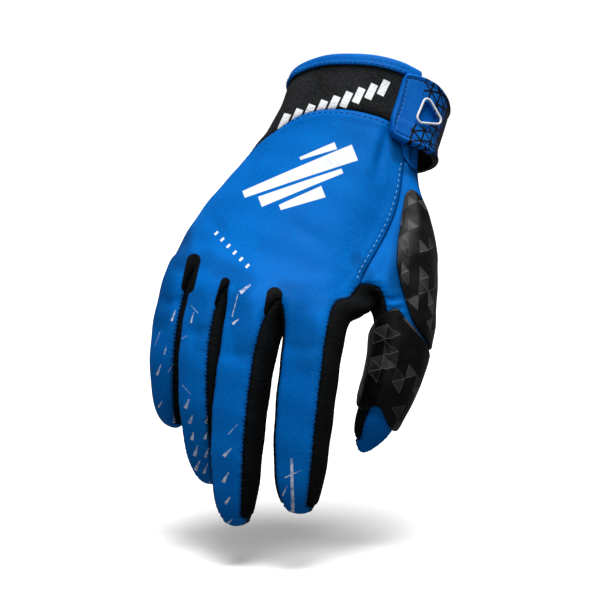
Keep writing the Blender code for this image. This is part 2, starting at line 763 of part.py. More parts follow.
def add_window(strap, cutters):
    """Cuts the three-cornered window through the strap."""
    middle, along, up, out = window_frame()
    outline = window_outline(0.0)
    places = []
    for depth in (0.006, -0.006):
        places += [middle + x * along + y * up + depth * out for x, y in outline]
    n = len(outline)
    faces = [list(range(n)), list(range(2 * n - 1, n - 1, -1))]
    faces += [[(i + 1) % n, i, i + n, (i + 1) % n + n] for i in range(n)]
    cutter = add_mesh("window_cutter", places, faces, strap.data.materials[0], cutters)
    cutter.hide_render = True
    cutter.display_type = "WIRE"
    cut = strap.modifiers.new("window", "BOOLEAN")
    cut.operation = "DIFFERENCE"
    cut.solver = "EXACT"
    cut.object = cutter


def edge_loop(points, quads):
    """The vertices of the glove's one open edge, in order."""
    follow = dict(rim_edges([quad for panel in quads.values() for quad in panel]))
    start = next(iter(follow))
    loop = [start]
    while follow[loop[-1]] != start:
        loop.append(follow[loop[-1]])
    return loop


def edge_course(points, normals, quads, loop, radius, wall):
    """Centres of a binding that sits on the cloth's edge, just clear of it."""
    beside = {}
    for panel in quads.values():
        for quad in panel:
            middle = np.mean([points[i] for i in quad], axis=0)
            for i in quad:
                beside.setdefault(i, []).append(middle)
    course = []
    for n, i in enumerate(loop):
        along = unit(points[loop[(n + 1) % len(loop)]] - points[loop[n - 1]])
        away = points[i] - np.mean(beside[i], axis=0)
        away -= away @ normals[i] * normals[i]
        away = unit(away - away @ along * along)
        course.append(points[i] + (radius + SEAM_GAP) * away - wall / 2 * normals[i])
    return np.array(course)


def split_edge(points, cage, hand, loop):
    """The loop's places in two runs: round the opening, and down and up the slit."""
    def nearest(column):
        corner = cage.points[hand[0][column]]
        return int(np.argmin([np.linalg.norm(points[i] - corner) for i in loop]))

    back, side = nearest(LAST_BACK), nearest(THUMB_SIDE)
    slit_first = (side - back) % len(loop) < (back - side) % len(loop)
    if slit_first:
        slit = [(back + n) % len(loop) for n in range((side - back) % len(loop) + 1)]
        opening = [(side + n) % len(loop) for n in range((back - side) % len(loop) + 1)]
    else:
        slit = [(side + n) % len(loop) for n in range((back - side) % len(loop) + 1)]
        opening = [(back + n) % len(loop) for n in range((side - back) % len(loop) + 1)]
    return opening, slit


def add_tube(name, places, radius, finish, collection, closed=False):
    curve = bpy.data.curves.new(name, "CURVE")
    curve.dimensions = "3D"
    curve.bevel_depth = radius
    curve.bevel_resolution = 1
    curve.use_fill_caps = not closed
    line = curve.splines.new("POLY")
    line.points.add(len(places) - 1)
    for point, place in zip(line.points, places):
        point.co = (*place, 1.0)
    line.use_cyclic_u = closed
    curve.materials.append(finish)
    tube = bpy.data.objects.new(name, curve)
    collection.objects.link(tube)
    return tube


def add_mesh(name, places, faces, material, collection):
    mesh = bpy.data.meshes.new(name)
    mesh.from_pydata([tuple(p) for p in places], [], faces)
    mesh.materials.append(material)
    mesh.validate()
    mesh.shade_smooth()
    mesh.set_sharp_from_angle(angle=math.radians(40.0))
    added = bpy.data.objects.new(name, mesh)
    collection.objects.link(added)
    return added


def material(name, colour, roughness):
    made = bpy.data.materials.new(name)
    made.use_nodes = True
    shader = made.node_tree.nodes["Principled BSDF"]
    shader.inputs["Base Color"].default_value = (*colour, 1.0)
    shader.inputs["Roughness"].default_value = roughness
    return made


def main():
    for old in list(bpy.data.objects):
        bpy.data.objects.remove(old)
    collection = bpy.data.collections.new("motocross_glove")
    bpy.context.scene.collection.children.link(collection)
    blue_cloth = material("blue_cloth", (0.01, 0.13, 0.55), 0.6)
    black_cloth = material("black_cloth", (0.01, 0.01, 0.012), 0.8)
    black_leather = material("black_leather", (0.012, 0.012, 0.013), 0.55)
    cage, hand = build_cage()
    points, normals, quads = smooth_glove(cage)
    normals = calmed(normals, quads, NORMAL_ROUNDS)
    white_rubber = material("white_rubber", (0.85, 0.85, 0.85), 0.5)
    blue_rubber = material("blue_rubber", (0.008, 0.11, 0.50), 0.45)
    grip_rubber = material("grip_rubber", (0.01, 0.01, 0.01), 0.25)
    cutters = bpy.data.collections.new("cutters")
    bpy.context.scene.collection.children.link(cutters)
    finishes = {BACK: blue_cloth, THUMB_BACK: blue_cloth, PALM: black_leather, THUMB_PALM: black_leather}
    for name, panel in sorted(quads.items()):
        wall = CUFF_WALL if name == CUFF else WALL
        places, faces = panel_solid(points, normals, panel, wall, SEAM_GAP)
        add_mesh(name, places, faces, finishes.get(name, black_cloth), collection)
    tree = BVHTree.FromPolygons([Vector(p) for p in points], [q for panel in quads.values() for q in panel])
    for name, table in (("thumb_grip_patch", THUMB_PATCH), ("thenar_grip_patch", THENAR_PATCH)):
        places, faces = grid_solid(patch_grid(tree, table, 12), GRIP_WALL)
        add_mesh(name, places, faces, grip_rubber, collection)
    loop = edge_loop(points, quads)
    opening, slit = split_edge(points, cage, hand, loop)
    course = edge_course(points, normals, quads, loop, BINDING_RADIUS, CUFF_WALL)
    add_tube("cuff_binding", course[opening][1:-1:2], BINDING_RADIUS, blue_cloth, collection)
    course = edge_course(points, normals, quads, loop, SLIT_BINDING_RADIUS, CUFF_WALL)
    add_tube("slit_binding", course[slit][1:-1], SLIT_BINDING_RADIUS, blue_cloth, collection)
    places, faces = grid_solid(strap_grid(), STRAP_WALL)
    strap = add_mesh("wrist_strap", places, faces, blue_rubber, collection)
    add_window(strap, cutters)
    middle, along, up, out = window_frame()
    rim = [middle + x * along + y * up + (SEAT_GAP + WINDOW_RIM_RADIUS) * out for x, y in window_outline(0.0008)]
    add_tube("window_rim", rim, WINDOW_RIM_RADIUS, white_rubber, collection, closed=True)


main()
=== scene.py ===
"""A right-hand motocross glove as worn, fingers hanging down, on a pale studio floor."""

import bpy
import numpy as np
from mathutils import Matrix, Vector
from mathutils.bvhtree import BVHTree


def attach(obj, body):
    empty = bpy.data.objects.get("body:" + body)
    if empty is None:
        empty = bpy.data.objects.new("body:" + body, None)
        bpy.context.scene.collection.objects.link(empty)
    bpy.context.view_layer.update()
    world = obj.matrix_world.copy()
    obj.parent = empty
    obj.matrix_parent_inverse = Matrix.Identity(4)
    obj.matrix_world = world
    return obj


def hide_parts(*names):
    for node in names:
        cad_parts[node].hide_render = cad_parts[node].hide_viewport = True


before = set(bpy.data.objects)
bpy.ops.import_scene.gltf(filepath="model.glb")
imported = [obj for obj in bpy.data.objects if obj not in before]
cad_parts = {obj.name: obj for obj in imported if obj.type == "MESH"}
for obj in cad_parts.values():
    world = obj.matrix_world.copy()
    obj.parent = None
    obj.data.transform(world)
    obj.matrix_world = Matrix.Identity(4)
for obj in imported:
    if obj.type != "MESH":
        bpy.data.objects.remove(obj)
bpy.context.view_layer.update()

# The view
# A long lens looks from the thumb's side of the back, a little from above. The glove hangs
# upright in front of it, with the wrist opening to the right of the picture's middle.
azimuth, elevation = np.radians(30.0), np.radians(6.0)
camera_distance, lens_pixels, opening_pixel = 0.82, 2000.0, (366.0, 75.0)
picture_size, picture_middle, sensor = 600.0, 300.0, 36.0
view_back = np.array([
    np.sin(azimuth) * np.cos(elevation), -np.cos(azimuth) * np.cos(elevation), np.sin(elevation)])
view_right = np.array([np.cos(azimuth), np.sin(azimuth), 0.0])
view_up = np.cross(view_back, view_right)
pixel = camera_distance / lens_pixels
camera_place = (camera_distance * view_back - (opening_pixel[0] - picture_middle) * pixel * view_right
                - (picture_middle - opening_pixel[1]) * pixel * view_up)
lens = bpy.data.cameras.new("studio_camera")
lens.sensor_width = sensor
lens.lens = sensor * lens_pixels / picture_size
lens.clip_start = 0.01
camera = bpy.data.objects.new("studio_camera", lens)
turn = np.eye(4)
turn[:3, :] = np.column_stack([view_right, view_up, view_back, camera_place])
camera.matrix_world = Matrix(turn.tolist())
bpy.context.scene.collection.objects.link(camera)
bpy.context.scene.camera = camera
bpy.context.scene.view_settings.view_transform = "Standard"


def unit_rows(values):
    """Each row divided by its length."""
    return values / np.linalg.norm(values, axis=-1, keepdims=True)


def sight(places):
    """How the camera's rays head, for places in the picture's pixels."""
    places = np.asarray(places, float)
    return unit_rows((places[..., :1] - picture_middle) / lens_pixels * view_right
                     + (picture_middle - places[..., 1:2]) / lens_pixels * view_up - view_back)


# The floor and the light
# A white floor a little under the fingertips. A soft sun stands high above, a large panel
# lights the hand's back, and two weak ones fill in, so that the fingers fall off darker.
class Socket:
    """A shader value whose sums, products and comparisons add their own Math nodes."""

    def __init__(self, tree, link):
        self.tree, self.link = tree, link

    def node(self, kind, settings=(), output=0, **sockets):
        """Adds a node, sets it up, then fills its sockets with values or links."""
        made = self.tree.nodes.new(kind)
        for key, value in dict(settings).items():
            setattr(made, key, value)
        for key, value in sockets.items():
            slot = made.inputs[int(key[1:]) if key[1:].isdigit() else key.replace("_", " ")]
            if isinstance(value, Socket):
                self.tree.links.new(value.link, slot)
            elif hasattr(slot.default_value, "__len__") and np.ndim(value):
                slot.default_value = (*value, 1.0)[: len(slot.default_value)]
            else:
                slot.default_value = value
        return Socket(self.tree, made.outputs[output])

    def sum_of(self, operation, *values):
        """A Math node on the values, or on this value alone."""
        return self.node("ShaderNodeMath", {"operation": operation},
                         **{f"i{n}": value for n, value in enumerate(values or (self,))})

    def __add__(self, other): return self.sum_of("ADD", self, other)
    def __radd__(self, other): return self.sum_of("ADD", other, self)
    def __sub__(self, other): return self.sum_of("SUBTRACT", self, other)
    def __rsub__(self, other): return self.sum_of("SUBTRACT", other, self)
    def __mul__(self, other): return self.sum_of("MULTIPLY", self, other)
    def __rmul__(self, other): return self.sum_of("MULTIPLY", other, self)
    def __gt__(self, other): return self.sum_of("GREATER_THAN", self, other)

    def smooth(self, low, high, first=0.0, last=1.0):
        """Rises softly from first to last while the value goes from low to high."""
        return self.node("ShaderNodeMapRange", {"interpolation_type": "SMOOTHSTEP"}, Value=self,
                         From_Min=low, From_Max=high, To_Min=first, To_Max=last)

    def noise(self, scale, detail, **sockets):
        """Noise from 0 to 1 over this place."""
        return self.node("ShaderNodeTexNoise", Vector=self, Scale=scale, Detail=detail, **sockets)

    def along(self, way):
        """How far this place lies along a way: their dot product."""
        return self.node("ShaderNodeVectorMath", {"operation": "DOT_PRODUCT"}, output="Value",
                         i0=self, i1=tuple(way))

    def parts(self):
        """The X and the Y of this place."""
        split = self.node("ShaderNodeSeparateXYZ", Vector=self)
        return split, Socket(self.tree, split.link.node.outputs["Y"])

    def bump(self, strength, depth):
        """This value as a height: the surface's normal, tilted where the height changes."""
        return self.node("ShaderNodeBump", output="Normal", Strength=strength, Distance=depth, Height=self)

    def mix(self, first, last):
        """The first colour where this value is 0, the last where it is 1."""
        return self.node("ShaderNodeMix", {"data_type": "RGBA"}, output=2, i0=self, i6=first, i7=last)


def shader(name, **constants):
    """A Principled material with its constants: the material, the place on the object as a
    Socket, and the shader node."""
    made = bpy.data.materials.new(name)
    made.use_nodes = True
    principled = made.node_tree.nodes["Principled BSDF"]
    for key, value in constants.items():
        slot = principled.inputs[key.replace("_", " ")]
        slot.default_value = (*value, 1.0) if np.ndim(value) else value
    return made, Socket(made.node_tree, None).node("ShaderNodeTexCoord", output="Object"), principled


def wire(principled, **links):
    """Links what varies over the surface to the shader's sockets."""
    for key, value in links.items():
        value.tree.links.new(value.link, principled.inputs[key.replace("_", " ")])


floor_level, floor_reach = -0.1815, 6.0
floor_mesh = bpy.data.meshes.new("studio_floor")
floor_mesh.from_pydata([(x * floor_reach, y * floor_reach, floor_level)
                        for x, y in ((-1, -1), (1, -1), (1, 1), (-1, 1))], [], [(0, 1, 2, 3)])
floor = bpy.data.objects.new("studio_floor", floor_mesh)
floor_finish, place, principled = shader("floor_white", Roughness=1.0, Emission_Strength=1.0,
                                         Emission_Color=(0.20, 0.20, 0.20))
wire(principled, Base_Color=place.node("ShaderNodeTexNoise", Scale=0.4, Detail=1.0).mix(
    (0.90, 0.90, 0.90), (0.92, 0.92, 0.92)))
floor_mesh.materials.append(floor_finish)
floor.visible_diffuse = floor.visible_glossy = False
bpy.context.scene.collection.objects.link(floor)

sky = bpy.data.worlds.new("studio_white")
sky.use_nodes = True
bpy.context.scene.world = sky
# the sky gives little light, but the camera sees it white
strength = Socket(sky.node_tree, None).node("ShaderNodeLightPath").smooth(0.0, 1.0, 0.22, 1.02)
sky.node_tree.links.new(strength.link, sky.node_tree.nodes["Background"].inputs["Strength"])
sky.node_tree.nodes["Background"].inputs["Color"].default_value = (1.0, 1.0, 1.0, 1.0)


def lamp(name, kind, place, aim, energy, size):
    """A soft light at a place that faces the aim."""
    light = bpy.data.lights.new(name, kind)
    light.energy = energy
    setattr(light, "angle" if kind == "SUN" else "size", size)
    added = bpy.data.objects.new(name, light)
    back = unit_rows(np.subtract(place, aim))
    side = unit_rows(np.cross([0.0, 0.0, 1.0], back))
    stand = np.eye(4)
    stand[:3, :] = np.column_stack([side, np.cross(back, side), back, place])
    added.matrix_world = Matrix(stand.tolist())
    bpy.context.scene.collection.objects.link(added)


lamp("high_sun", "SUN", (0.18, 0.02, 2.2), (0.0, 0.0, 0.0), 3.7, np.radians(38.0))
lamp("high_panel", "AREA", (0.25, -0.80, 1.70), (0.0, -0.05, -0.08), 11.5, 1.0)
lamp("front_panel", "AREA", (0.55, -1.3, 0.15), (0.0, -0.05, -0.1), 1.1, 0.7)
lamp("left_panel", "AREA", (-1.1, -0.5, 0.3), (0.0, -0.05, -0.1), 0.35, 0.5)


# The form of the glove
# The glove is sewn from cloth panels over a bent hand. Its form is a coarse cage: rows round
# the cuff and the hand, rings along four fingers and the thumb, all smoothed together. Each
# panel is a patch of that one skin, so neighbours meet at their seams.
cuff_height, body_length = 0.031, 0.086
hand_length = cuff_height + body_length
hand_breadth, hand_depth, wrist_breadth, wrist_depth = 0.093, 0.031, 0.060, 0.045
arch_drop, seam_lean, palm_taper, seam_bulge, bulge_end = 0.012, 0.14, 0.42, 0.05, 0.85
finger_length, finger_breadth, finger_depth = 0.096, 0.0212, 0.0186
thumb_length, thumb_breadth, thumb_depth = 0.120, 0.0205, 0.0195
cage_fullness, section_power = 1.065, 2.4

# share of the hand's length, lean from the vertical in degrees
spine_lean = np.array([(0, 27), (0.25, 36), (0.45, 46), (0.80, 48), (0.92, 42), (1.05, 34)])
# share, half breadth and half depth from the wrist's (0) to the knuckles' (1), shift
body_sections = np.array([
    (0.00, 0.05, 0.00, 0.00), (0.25, 0.02, 0.00, 0.00), (0.42, 0.45, 0.20, -0.03),
    (0.58, 0.96, 0.50, -0.08), (0.75, 1.16, 0.80, -0.12), (0.90, 1.10, 1.00, -0.11),
    (1.00, 1.02, 1.15, -0.10)])
back_columns = np.array([-0.92, -0.79, -0.63, -0.47, -0.32, -0.16, 0.00, 0.17, 0.33, 0.50, 0.66, 0.81, 0.94])
cuff_rows, body_rows = [0.20, 0.60, 1.0], [0.16, 0.36, 0.57, 0.76, 0.89, 1.0]
thumb_seam_rows = [0.16, 0.40, 0.65, 0.88, 0.95, 1.0]
cuff_seam_drop = np.array([0.75, 0.58, 0.40, 0.26, 0.15, 0.07, 0.02, 0, 0, 0, 0, 0, 0])
web_drop = np.array([-0.17, -0.16, -0.15, -0.11, -0.07, -0.04, -0.01, 0.02, 0.04, 0.03, 0.02, 0.01, 0.00])


def superellipse(turns):
    """Across and rise of a rounded section: cosine and sine, each to the power 2 / 2.4."""
    across, rise = np.cos(turns), np.sin(turns)
    power = 2.0 / section_power
    return np.sign(across) * np.abs(across) ** power, np.sign(rise) * np.abs(rise) ** power


def spine(length):
    """Axis points and the way out of the back: the lean's sine and cosine, added up by steps."""
    lengths = np.linspace(0.0, 1.25 * hand_length, 200)
    leans = np.radians(np.interp(lengths / hand_length, *spine_lean.T))
    way = -np.stack([np.sin(leans), np.cos(leans)], axis=1)
    walked = np.vstack([[0.0, 0.0], np.cumsum((way[1:] + way[:-1]) / 2 * lengths[1], axis=0)])
    lean = np.interp(length, lengths, leans)
    zero = np.zeros_like(lean)
    axis = np.stack([zero, *(np.interp(length, lengths, column) for column in walked.T)], -1)
    return axis, np.stack([zero, -np.cos(lean), np.sin(lean)], -1)


def hand_place(length, across, rise):
    """Points of the hand: the axis, plus the half breadth sideways, plus the half depth out of
    the back less an arch that grows with the square of the place across."""
    share = length / hand_length
    axis, out = spine(length)
    breadth, depth, shift = (np.interp(share, body_sections[:, 0], column)
                             for column in body_sections[:, 1:].T)
    half_breadth = (wrist_breadth + breadth * (hand_breadth - wrist_breadth)) / 2
    half_depth = (wrist_depth + depth * (hand_depth - wrist_depth)) / 2
    beside_thumb = (across > 0.6) & (across < 1.0) & (rise > 0)
    across = across - beside_thumb * seam_lean * (across - 0.6) / 0.4 * np.clip(share - 0.3, 0.0, None)
    taper = 1.0 - palm_taper * np.clip((share - 0.72) / 0.25, 0.0, 1.0)
    half_depth = np.where(rise < 0, half_depth * taper, half_depth)
    opened = np.clip((length - cuff_height) / (0.7 * body_length), 0.0, 1.0)
    height = rise * half_depth - arch_drop * opened * across**2
    sideways = np.zeros_like(out)
    sideways[..., 0] = shift * hand_breadth + across * half_breadth
    return axis + sideways + height[..., None] * out


# The loop of 28 columns: 0 to 12 cross the back, 13 is the thumb's side, 14 to 26 cross the
# palm and 27 is the little finger's side.
columns = np.arange(28)
back_of = np.concatenate([np.arange(13), [12], np.arange(12, -1, -1), [0]])
column_across = np.where(columns == 13, 1.0, np.where(columns == 27, -1.0, back_columns[back_of]))
column_rise = (1.0 - np.minimum(1.0, np.abs(column_across)) ** section_power) ** (1.0 / section_power)
column_rise *= np.where((columns == 13) | (columns == 27), 0.0, np.where(columns > 13, -1.0, 1.0))
cuff_seam = cuff_height * (1.0 + cuff_seam_drop[back_of] * np.where(column_rise >= 0, 1.0, 0.4))
web_line = cuff_height + body_length * (1.0 + web_drop[back_of] + np.where(column_rise < 0, 0.05, 0.0))
body_share = np.where(columns == 12, np.array(thumb_seam_rows)[:, None], np.array(body_rows)[:, None])
row_lengths = np.vstack([np.array(cuff_rows)[:, None] * cuff_seam,
                         cuff_seam + body_share * (web_line - cuff_seam)])
hand_points = hand_place(row_lengths, column_across, column_rise)
# the thumb's seam swings out above the thumb's root: half a sine wave along the hand
swing = np.sin(np.pi * np.clip((row_lengths[:, 12] - cuff_height) / (bulge_end * body_length), 0.0, 1.0))
seam_across = column_across[12] + seam_bulge * swing
seam_rise = (1.0 - seam_across**section_power) ** (1.0 / section_power)
hand_points[:, 12] = hand_place(row_lengths[:, 12], seam_across, seam_rise)

# across, towards the palm and up: shares of the hand's breadth and the finger's length
digit_paths = {
    "little": [(-0.419, 0.067, 0.131), (-0.430, -0.037, -0.046), (-0.419, -0.100, -0.244),
               (-0.430, -0.079, -0.431), (-0.430, -0.048, -0.525)],
    "ring": [(-0.215, -0.037, 0.079), (-0.215, -0.141, -0.087), (-0.186, -0.225, -0.275),
             (-0.163, -0.235, -0.525), (-0.161, -0.183, -0.712)],
    "middle": [(0.011, -0.100, 0.027), (0.020, -0.204, -0.160), (0.031, -0.277, -0.348),
               (0.037, -0.329, -0.619), (0.054, -0.339, -0.837)],
    "index": [(0.258, -0.037, 0.006), (0.280, -0.141, -0.150), (0.290, -0.204, -0.327),
              (0.296, -0.266, -0.598), (0.301, -0.277, -0.775)],
    "thumb": [(0.323, 0.090, 0.038), (0.387, 0.015, -0.095), (0.441, -0.068, -0.253),
              (0.473, -0.135, -0.403), (0.462, -0.177, -0.562), (0.398, -0.210, -0.703),
              (0.344, -0.235, -0.812)],
}
# name, breadth and depth as shares, roll of the nail towards the thumb in degrees
fingers = [("little", 0.88, 0.90, -9.0), ("ring", 0.93, 0.96, -4.0),
           ("middle", 1.00, 1.00, 0.0), ("index", 1.04, 1.02, 8.0)]
# along, breadth, depth
finger_rings = np.array([(0.0, 1.02, 1.10), (0.18, 1.00, 1.02), (0.40, 1.00, 1.00), (0.64, 0.94, 0.95),
                         (0.86, 0.82, 0.80), (0.965, 0.52, 0.50)])
finger_section = np.array([(-0.88, 0.66), (-0.34, 1.00), (0.24, 1.02), (0.68, 0.88), (1.03, 0.14),
                           (0.75, -0.72), (0.30, -1.00), (-0.30, -1.00), (-0.75, -0.72), (-1.00, 0.00)])
# along, breadth, depth, roundness, how far the web's side runs ahead
thumb_rings = np.array([
    (0.27, 1.35, 1.20, 0.50, 0.75), (0.40, 1.20, 1.15, 0.80, 0.58), (0.53, 1.10, 1.08, 1.00, 0.28),
    (0.68, 0.98, 0.98, 1.00, 0.06), (0.81, 0.88, 0.86, 1.00, 0.00), (0.91, 0.70, 0.66, 1.00, 0.00),
    (0.965, 0.44, 0.40, 1.00, 0.00)])
thumb_facing, hole_pull = np.radians(-55.0), 0.35


def digit_axis(name, share, facing):
    """Points on a digit's axis, with sideways and outward ways square to it: straight runs
    between the path's places, and a heading taken over a quarter of the digit."""
    reach = thumb_length if name == "thumb" else finger_length
    root = spine(np.array(hand_length * (0.5 if name == "thumb" else 1.0)))[0]
    path = root + np.array(digit_paths[name]) * [hand_breadth, reach, reach]
    steps = np.linalg.norm(np.diff(path, axis=0), axis=1)
    shares = np.concatenate([[0.0], np.cumsum(steps) / steps.sum()])
    share, facing = np.asarray(share, float), np.asarray(facing, float)
    here, onward, behind = (
        np.stack([np.interp(at, shares, axis) for axis in path.T], -1)
        for at in (share, np.minimum(share + 0.12, 1.0), np.maximum(share - 0.12, 0.0)))
    ahead = unit_rows(onward - behind)
    out = np.stack([np.cos(facing), np.sin(facing), np.zeros_like(facing)], -1)
    out = unit_rows(out - np.sum(out * ahead, -1, keepdims=True) * ahead)
    return here, np.cross(out, ahead), out


def finger_place(order, rings):
    """Rings of ten points round a finger: breadth and depth carried along its axis."""
    name, breadth, depth, roll = fingers[order]
    middle, side, out = digit_axis(name, rings[:, 0], np.radians(roll - 90.0))
    wide = cage_fullness * breadth * finger_breadth / 2 * rings[:, 1]
    deep = cage_fullness * depth * finger_depth / 2 * rings[:, 2]
    return (middle[:, None] + (wide[:, None] * finger_section[:, 0])[..., None] * side[:, None]
            + (deep[:, None] * finger_section[:, 1])[..., None] * out[:, None])


finger_points = np.array([finger_place(order, finger_rings) for order in range(4)])
base_sum, base_count = np.zeros((28, 3)), np.zeros(28)
for order in range(4):
    touched = np.concatenate([3 * order + np.arange(4), 26 - 3 * order - np.arange(3, -1, -1)])
    base_sum[touched] += finger_points[order, 0, [0, 1, 2, 3, 5, 6, 7, 8]]
    base_count[touched] += 1
base_sum[[13, 27]], base_count[[13, 27]] = finger_points[[3, 0], 0, [4, 9]], 1
hand_points[8] = base_sum / base_count[:, None]
tip_middles = []
for order in range(4):
    middle, side, _ = digit_axis(fingers[order][0], 1.0, np.radians(fingers[order][3] - 90.0))
    reach = finger_rings[-1, 1] * cage_fullness * fingers[order][1] * finger_breadth / 2 * 0.33
    tip_middles.append([middle - reach * side, middle + reach * side])
tip_points = np.array(tip_middles)
hand_index = np.arange(9 * 28).reshape(9, 28)
# the thumb's hole in the hand, and its rings: the first is loose, the last are round
hole = np.concatenate([hand_index[3:7, 12], hand_index[6, 13:17], hand_index[5:2:-1, 16],
                       hand_index[3, 15:12:-1]])
hole_points = hand_points.reshape(-1, 3)[hole]
middle, side, out = digit_axis("thumb", thumb_rings[:, 0], np.full(7, thumb_facing))
ring_turns = np.radians(90.0 - 360.0 * (np.arange(14) - 1.5) / 14)
ring_across, ring_rise = superellipse(ring_turns)
round_ring = (middle[:, None]
              + (thumb_rings[:, 2:3] * thumb_depth / 2 * ring_rise)[..., None] * out[:, None]
              - (thumb_rings[:, 1:2] * thumb_breadth / 2 * ring_across)[..., None] * side[:, None])
onward = np.cross(side, out)
lead = thumb_rings[:, 4:5] * thumb_breadth * np.maximum(0.0, np.cos(ring_turns))
lead = lead[..., None] * onward[:, None]
loose_ring = hole_points + hole_pull * (middle - hole_points.mean(0))[:, None]
roundness = thumb_rings[:, 3][:, None, None]
thumb_points = roundness * round_ring + (1.0 - roundness) * loose_ring + lead

# The cage's points in one list: hand, webs, finger rings, finger tips, thumb rings, thumb cap
web_index = 252 + np.arange(3)
back_corner, palm_corner = hand_points[8, [3, 6, 9]], hand_points[8, [23, 20, 17]]
finger_index = 255 + np.arange(4 * 5 * 10).reshape(4, 5, 10)
tip_index = 455 + np.arange(8).reshape(4, 2)
thumb_index = 463 + np.arange(7 * 14).reshape(7, 14)
cap_index = np.empty((5, 4), int)
last_ring = thumb_index[6]
cap_index[0], cap_index[4] = last_ring[:4], last_ring[7:11][::-1]
cap_index[1:4, 3], cap_index[1:4, 0] = last_ring[4:7], last_ring[[13, 12, 11]]
cap_index[1:4, 1:3] = 561 + np.arange(6).reshape(3, 2)
ring_places = thumb_points[6]
bulge = digit_axis("thumb", 1.0, thumb_facing)[0] - ring_places.mean(0)
across_share, along_share = (np.arange(1, 3) / 3)[None, :, None], (np.arange(1, 4) / 4)[:, None, None]
left, right = ring_places[[13, 12, 11]][:, None], ring_places[[4, 5, 6]][:, None]
top, bottom = ring_places[[1, 2]][None], ring_places[[9, 8]][None]
cap_points = (left + (right - left) * across_share + top + (bottom - top) * along_share) / 2 + bulge
cage_points = np.concatenate([
    hand_points.reshape(-1, 3), (back_corner + palm_corner) / 2, finger_points[:, 1:].reshape(-1, 3),
    tip_points.reshape(-1, 3), thumb_points.reshape(-1, 3), cap_points.reshape(-1, 3)])

panel_names = ["back_panel", "cuff_band", "fourchette_little_ring", "fourchette_middle_index",
               "fourchette_ring_middle", "palm_panel", "thumb_back", "thumb_gusset", "thumb_palm"]
BACK, CUFF, LITTLE_RING, MIDDLE_INDEX, RING_MIDDLE, PALM, THUMB_BACK, GUSSET, THUMB_PALM = range(9)
side_walls = [LITTLE_RING, RING_MIDDLE, MIDDLE_INDEX, GUSSET]
cage_quads, cage_panels = [], []


def add_strip(upper, lower, panels):
    """Quads between two closed rows of points; a panel of -1 leaves the quad open."""
    panels = np.asarray(panels)
    quads = np.stack([upper, lower, np.roll(lower, -1), np.roll(upper, -1)], axis=1)
    cage_quads.extend(quads[panels >= 0].tolist())
    cage_panels.extend(panels[panels >= 0].tolist())


for row in range(8):
    panels = np.where((columns < 12) | (columns == 27), BACK, np.where(columns <= 13, GUSSET, PALM))
    if row < 2:
        panels = np.full(28, CUFF)
    if row < 3:
        panels[13] = THUMB_BACK if row == 2 else CUFF
        panels[12] = -1
    elif row < 6:
        panels[12:16] = -1
    add_strip(hand_index[row], hand_index[row + 1], panels)
for order in range(4):
    backs = hand_index[8, 3 * order:3 * order + 4]
    palms = hand_index[8, 26 - 3 * order - np.arange(3, -1, -1)]
    thumb_side = hand_index[8, 13] if order == 3 else web_index[order]
    little_side = hand_index[8, 27] if order == 0 else web_index[order - 1]
    upper = np.concatenate([backs, [thumb_side], palms, [little_side]])
    walls = [PALM, BACK] if order == 0 else [side_walls[order - 1]] * 2
    for lower in finger_index[order]:
        add_strip(upper, lower, [BACK] * 3 + [side_walls[order]] * 2 + [PALM] * 3 + walls)
        upper = lower
    d0, d1, d2, d3, thumb_side, p3, p2, p1, p0, little_side = upper
    little, thumb = tip_index[order]
    cage_quads += [[d0, little_side, little, d1], [d1, little, thumb, d2], [d2, thumb, thumb_side, d3],
                   [little_side, p0, p1, little], [little, p1, p2, thumb], [thumb, p2, p3, thumb_side]]
    cage_panels += [BACK] * 3 + [PALM] * 3
upper = hole
for lower in thumb_index:
    ring_panels = np.array([THUMB_BACK] * 3 + [GUSSET] * 4 + [THUMB_PALM] * 5 + [THUMB_BACK] * 2)
    add_strip(np.roll(upper[::-1], 1), np.roll(lower[::-1], 1), ring_panels[::-1])
    upper = lower
cap_quads = np.stack([cap_index[:-1, :-1], cap_index[:-1, 1:], cap_index[1:, 1:], cap_index[1:, :-1]], -1)
cage_quads += cap_quads.reshape(-1, 4).tolist()
cage_panels += [THUMB_BACK] * 6 + [THUMB_PALM] * 6


def smooth_skin(points, quads, panels, levels):
    """The cage after Catmull-Clark subdivision: points, quads and each quad's panel."""
    mesh = bpy.data.meshes.new("glove_cage")
    mesh.from_pydata(points.tolist(), [], quads)
    for name in panel_names:
        mesh.materials.append(bpy.data.materials.new(name))
    mesh.polygons.foreach_set("material_index", panels)
    cage = bpy.data.objects.new("glove_cage", mesh)
    bpy.context.scene.collection.objects.link(cage)
    rounding = cage.modifiers.new("rounding", "SUBSURF")
    rounding.levels = rounding.render_levels = levels
    fine = bpy.data.meshes.new_from_object(cage.evaluated_get(bpy.context.evaluated_depsgraph_get()))
    places = np.empty(len(fine.vertices) * 3, np.float32)
    fine.vertices.foreach_get("co", places)
    corners = np.empty(len(fine.loops), np.int32)
    fine.loops.foreach_get("vertex_index", corners)
    owners = np.empty(len(fine.polygons), np.int32)
    fine.polygons.foreach_get("material_index", owners)
    bpy.data.objects.remove(cage)
    bpy.data.meshes.remove(fine)
    for slot in list(mesh.materials):
        bpy.data.materials.remove(slot)
    bpy.data.meshes.remove(mesh)
    used, corners = np.unique(corners, return_inverse=True)
    return places.reshape(-1, 3)[used].astype(float), corners.reshape(-1, 4), owners


skin, skin_quads, skin_panels = smooth_skin(cage_points, cage_quads, cage_panels, 4)


def spread(values, quads, count):
    """Each quad's value added up at its four corners."""
    return np.stack([np.bincount(quads.ravel(), np.repeat(column, 4), count) for column in values.T], 1)


def crossed_diagonals(points, quads):
    """The cross product of each quad's diagonals, which points out of it."""
    return np.cross(points[quads[:, 2]] - points[quads[:, 0]], points[quads[:, 3]] - points[quads[:, 1]])


